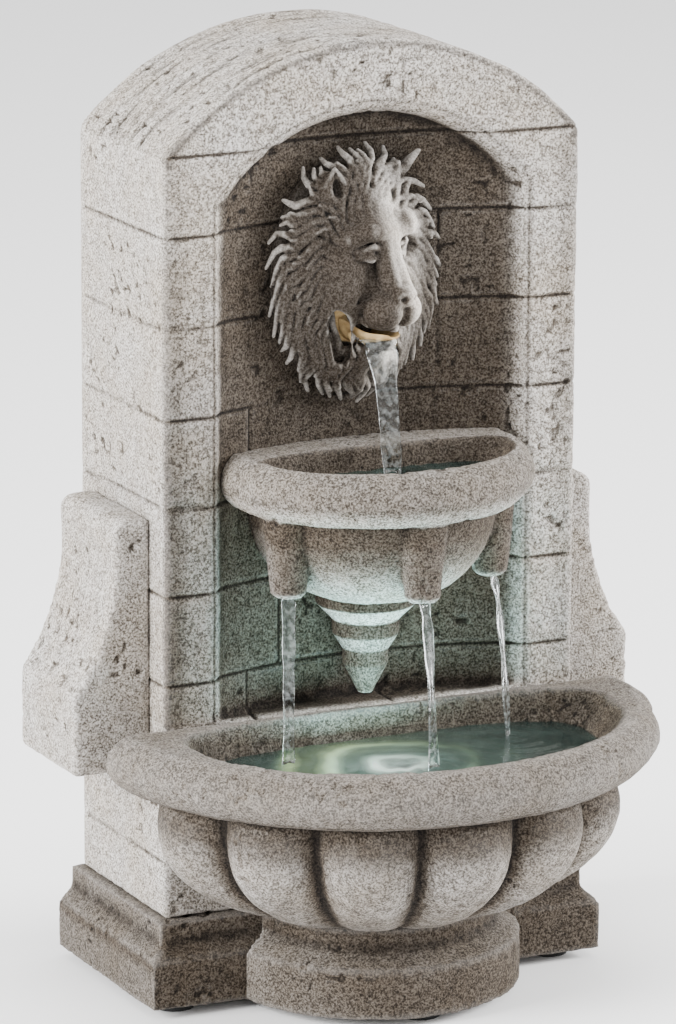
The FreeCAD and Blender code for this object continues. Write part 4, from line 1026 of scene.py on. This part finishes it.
def pool_finish(name, glow_at, glow_reach, glow):
    """Water with painted lamp light: a glow given off round the point glow_at, drawn into rings."""
    finish, shader = new_finish(name, 0.04, 0.14)
    set_sockets(shader, {"IOR": 1.33, "Alpha": 0.8, "Emission Strength": glow})
    offset = add(finish, "VectorMath", Vector=place(finish))
    offset.operation = "SUBTRACT"
    offset.inputs[1].default_value = glow_at
    away = add(finish, "VectorMath", Vector=offset.outputs["Vector"])
    away.operation = "LENGTH"
    near = add(finish, "MapRange", {"From Max": glow_reach, "To Min": 1.0, "To Max": 0.0},
               Value=away.outputs["Value"])
    # Painted lamp light, fading away from glow_at, with a painted white highlight at glow_at.
    halo = ramp(finish, near.outputs["Result"], (0.0, grey(0.0)), (0.2, (0.02, 0.035, 0.02)),
                (0.4, (0.22, 0.29, 0.12)), (0.7, (0.22, 0.35, 0.27)), (1.0, (0.85, 0.97, 0.90)))
    swirl = add(finish, "TexWave", {"Scale": 15.0, "Distortion": 5.0, "Detail": 2.0, "Detail Scale": 1.3},
                Vector=offset.outputs["Vector"])
    swirl.wave_type = "RINGS"
    swirl.rings_direction = "Z"
    lines = ramp(finish, swirl.outputs["Fac"], (0.25, grey(0.12)), (0.75, grey(0.4)), (1.0, grey(1.0)))
    # The painted rings are brighter on the left.
    aside = add(finish, "SeparateXYZ", Vector=offset.outputs["Vector"]).outputs["X"]
    left = add(finish, "MapRange", {"From Min": -0.02, "From Max": 0.03, "To Min": 1.0, "To Max": 0.08},
               Value=aside)
    lines = mix(finish, "MULTIPLY", 1.0, lines, left.outputs["Result"])
    plug(finish, mix(finish, "MULTIPLY", 1.0, halo, lines), shader, "Emission Color")
    depth = ramp(finish, noise(finish, 60.0), (0.3, (0.012, 0.018, 0.016)), (0.7, (0.035, 0.050, 0.044)))
    plug(finish, depth, shader, "Base Color")
    return finish


def falling_finish():
    finish, shader = new_finish("falling_water", 0.03, 0.6)
    # Painted glints: the brightest threads give off a faint glow.
    set_sockets(shader, {"IOR": 1.33, "Transmission Weight": 1.0, "Emission Strength": 0.12})
    threads = noise(finish, 420.0)
    plug(finish, ramp(finish, threads, (0.35, (0.86, 0.93, 0.95)), (0.65, grey(1.0))), shader, "Base Color")
    plug(finish, ramp(finish, threads, (0.5, grey(0.0)), (0.62, (0.9, 1.0, 1.0))), shader, "Emission Color")
    raise_grain(finish, shader, threads, 0.3, 0.0006)
    return finish


lower_water = pool_finish("lit_pool_water", (-0.009, wall_face - 0.046, lower_level * mm), 0.066, 3.0)
upper_water = pool_finish("dim_pool_water", (lamp_middle.x, lamp_middle.y, upper_level * mm), 0.05, 0.05)
stream_water = falling_finish()
print("water finishes", lower_water.name, upper_water.name, stream_water.name)

# %% [markdown]
# ## Streams
# Water leaves the lip as a flat sheet with thick edges and draws together as it falls.
# Its path is that of anything that falls: it moves on evenly, and its drop grows with the square of time.
# Across, the sheet is an oval pinched in the middle, and its width and turn change on the way down.

# %% Streams and pools
stream_steps = 40
stream_sides = 20


def stream(name, start, end, first_half, last_half, thick, facing_turn, seed):
    """Falling water from start to end, given in millimetres in front of the wall."""
    start, end = np.array(start, float), np.array(end, float)
    around = full_turn(stream_sides)
    rings = []
    for u in np.linspace(0, 1, stream_steps):
        middle = start + (end - start) * np.array([u, u, u * u])
        wobble = lumps(np.array([[seed * 9.0, u * 9, 0.5], [seed * 9.0, u * 7, 4.5]]), 1.0, 13)
        half = (first_half + (last_half - first_half) * slope(0, 0.8, u)) * (1 + 0.16 * wobble[0])
        turn = facing_turn + 0.5 * wobble[1]
        across = np.array([math.cos(turn), math.sin(turn), 0])
        deep = np.array([-math.sin(turn), math.cos(turn), 0])
        body = thick * (0.35 + 0.65 * np.cos(around) ** 2) * np.sin(around)
        rings.append(middle + half * np.cos(around)[:, None] * across + body[:, None] * deep)
    water_piece(name, np.array(rings) * mm + np.array([0, wall_face, 0]), stream_water)


lip_at = in_head((-4.5, 10.5, -26.5))
mouth_landing = (3.5, -11.0)
stream("mouth_stream", lip_at, (*mouth_landing, upper_level - 1), 7.5, 4.0, 1.5, -0.45, 1)
spout_foot, spout_throw = 178.0, 9.0
side_spout, front_spout = (46.0, -16.0), (0.0, -46.0)
spout_streams = {"left_stream": (-side_spout[0], side_spout[1], -4.0), "middle_stream": (*front_spout, 1.5),
                 "right_stream": (*side_spout, 5.0)}
landings = []
for n, (name, (x, y, aside)) in enumerate(spout_streams.items()):
    landing = (x + aside, y - spout_throw)
    stream(name, (x, y, spout_foot), (*landing, lower_level - 1), 2.9, 2.7, 1.3, 0.4 * n, n + 2)
    landings.append((landing[0] * mm, landing[1] * mm + wall_face, 0.5))
bpy.context.view_layer.update()
pool("basin_water", dressed["basin"], Vector((0, lamp_middle.y, lower_level * mm)), landings, lower_water)
pool("bowl_water", dressed["upper_bowl"], Vector((0, wall_face - 0.02, upper_level * mm)),
     [(mouth_landing[0] * mm, mouth_landing[1] * mm + wall_face, 0.6)], upper_water)

# %% [markdown]
# ## Finishes of the small parts
# The pump, lamp, cover, screws and feet keep their solids, because their shapes are already right.
# Each only needs a finish. Moulded plastic has a fine grain and a slight change of gloss, rubber is duller,
# and plated steel is bright metal. One function covers them, with the values that make the difference.

# %% Small finishes
def made_finish(name, colour, roughness, grain_size, relief, metal=0.0, see_through=0.0):
    """A finish whose gloss and relief follow a grain of that size in metres, in slowly changing colour."""
    finish, shader = new_finish(name, roughness, 0.45)
    set_sockets(shader, {"Metallic": metal, "Transmission Weight": see_through})
    grain, wear = noise(finish, 1 / grain_size, 3.0), noise(finish, 55.0, 4.0)
    dark, light = tuple(0.8 * c for c in colour), tuple(min(1, 1.12 * c) for c in colour)
    plug(finish, ramp(finish, wear, (0.35, dark), (0.65, light)), shader, "Base Color")
    gloss = ramp(finish, grain, (0.3, grey(roughness * 0.85)), (0.7, grey(min(1, roughness * 1.15))))
    plug(finish, gloss, shader, "Roughness")
    raise_grain(finish, shader, grain, relief, 0.0003)
    return finish


small_looks = {
    "black_plastic": ("black_plastic", (0.02, 0.02, 0.022), 0.45, 0.0006, 0.25),
    "grey_plastic": ("grey_plastic", (0.20, 0.19, 0.175), 0.5, 0.0008, 0.3),
    "rubber": ("rubber", (0.016, 0.016, 0.016), 0.8, 0.0005, 0.3),
    "clear_vinyl": ("clear_vinyl", (0.85, 0.9, 0.9), 0.15, 0.002, 0.05, 0.0, 0.85),
    "clear_lens": ("clear_lens", (0.9, 0.98, 1.0), 0.08, 0.003, 0.05, 0.0, 0.9),
    "steel": ("zinc_plated_steel", (0.55, 0.55, 0.57), 0.32, 0.0003, 0.2, 1.0),
    "ceramic": ("ground_ceramic", (0.82, 0.80, 0.76), 0.25, 0.0004, 0.1),
    "ferrite": ("sintered_ferrite", (0.05, 0.05, 0.055), 0.6, 0.0004, 0.4),
    "copper": ("enamelled_copper", (0.50, 0.20, 0.09), 0.3, 0.0004, 0.3, 1.0),
    "circuit_board": ("white_board", (0.80, 0.82, 0.83), 0.4, 0.0007, 0.1),
    "hardwood": ("turned_hardwood", (0.40, 0.26, 0.14), 0.6, 0.0009, 0.3)}
small_finishes = {slot: made_finish(*look) for slot, look in small_looks.items()}
small_finishes.update({"cast_stone": stone, "ochre_stone": ochre})
lens_shader = small_finishes["clear_lens"].node_tree.nodes["Principled BSDF"]
set_sockets(lens_shader, {"Emission Color": (0.7, 1.0, 1.0, 1), "Emission Strength": 4.0})
for part in frame["record"]["subparts"]:
    for slot in frame["nodes"][part["node"]].material_slots:
        slot.material = small_finishes[part["material_slot"]]

# %% [markdown]
# ## The studio
# The backdrop is a plain pale floor under an even sky, with a large soft light on each side and one above.
# The side lights are the stronger ones: they brighten the flanks and the edges, and leave the niche in shade.
# The lamp in the basin is a small point light. A flat light just over the water adds what would come out of
# it, and is kept out of reflections and of the view through the streams.

# %% Floor and lights
def soft_light(name, place_at, size, power, colour=(1, 1, 1), aim=(0, 0, 0.2)):
    light = bpy.data.lights.new(name, "AREA")
    light.size = size
    light.energy = power
    light.color = colour
    lamp = link_new(name, light)
    lamp.location = place_at
    lamp.rotation_mode = "QUATERNION"
    lamp.rotation_quaternion = (Vector(aim) - Vector(place_at)).to_track_quat("-Z", "Y")
    return lamp


floor_mesh = bpy.data.meshes.new("floor")
floor_half = 8.0
floor_corners = [(x * floor_half, y * floor_half, 0) for x, y in ((-1, -1), (1, -1), (1, 1), (-1, 1))]
floor_mesh.from_pydata(floor_corners, [], [(0, 1, 2, 3)])
floor = link_new("floor", floor_mesh)
floor_finish, floor_shader = new_finish("pale_floor", 0.8, 0.1)
floor_tone = ramp(floor_finish, noise(floor_finish, 0.7), (0.3, grey(0.92)), (0.7, grey(0.95)))
plug(floor_finish, floor_tone, floor_shader, "Base Color")
floor_mesh.materials.append(floor_finish)
world = bpy.data.worlds.new("studio")
bpy.context.scene.world = world
world.use_nodes = True
set_sockets(world.node_tree.nodes["Background"], {"Color": (1.0, 1.0, 1.0, 1), "Strength": 1.4})
soft_light("left_light", (-2.2, -0.1, 1.0), 1.1, 150)
soft_light("right_light", (2.2, -0.7, 1.0), 0.9, 150)
soft_light("top_light", (0.0, -0.3, 2.4), 1.2, 36)
lamp_light = bpy.data.lights.new("lamp_glow", "POINT")
lamp_light.energy = 2.2
lamp_light.color = (0.62, 0.96, 1.0)
lamp_light.shadow_soft_size = 0.010
lamp_glow = link_new("lamp_glow", lamp_light)
lamp_glow.location = lamp_middle + Vector((0, 0, 0.018))
over_lamp = Vector((-0.008, lamp_middle.y, (lower_level + 3) * mm))
water_glow = soft_light("water_glow", over_lamp, 0.05, 0.32, (0.5, 0.95, 1.0),
                        over_lamp + Vector((0, 0, 0.1)))
water_glow.visible_transmission = False
water_glow.visible_glossy = False
print("lights", len(bpy.data.lights))
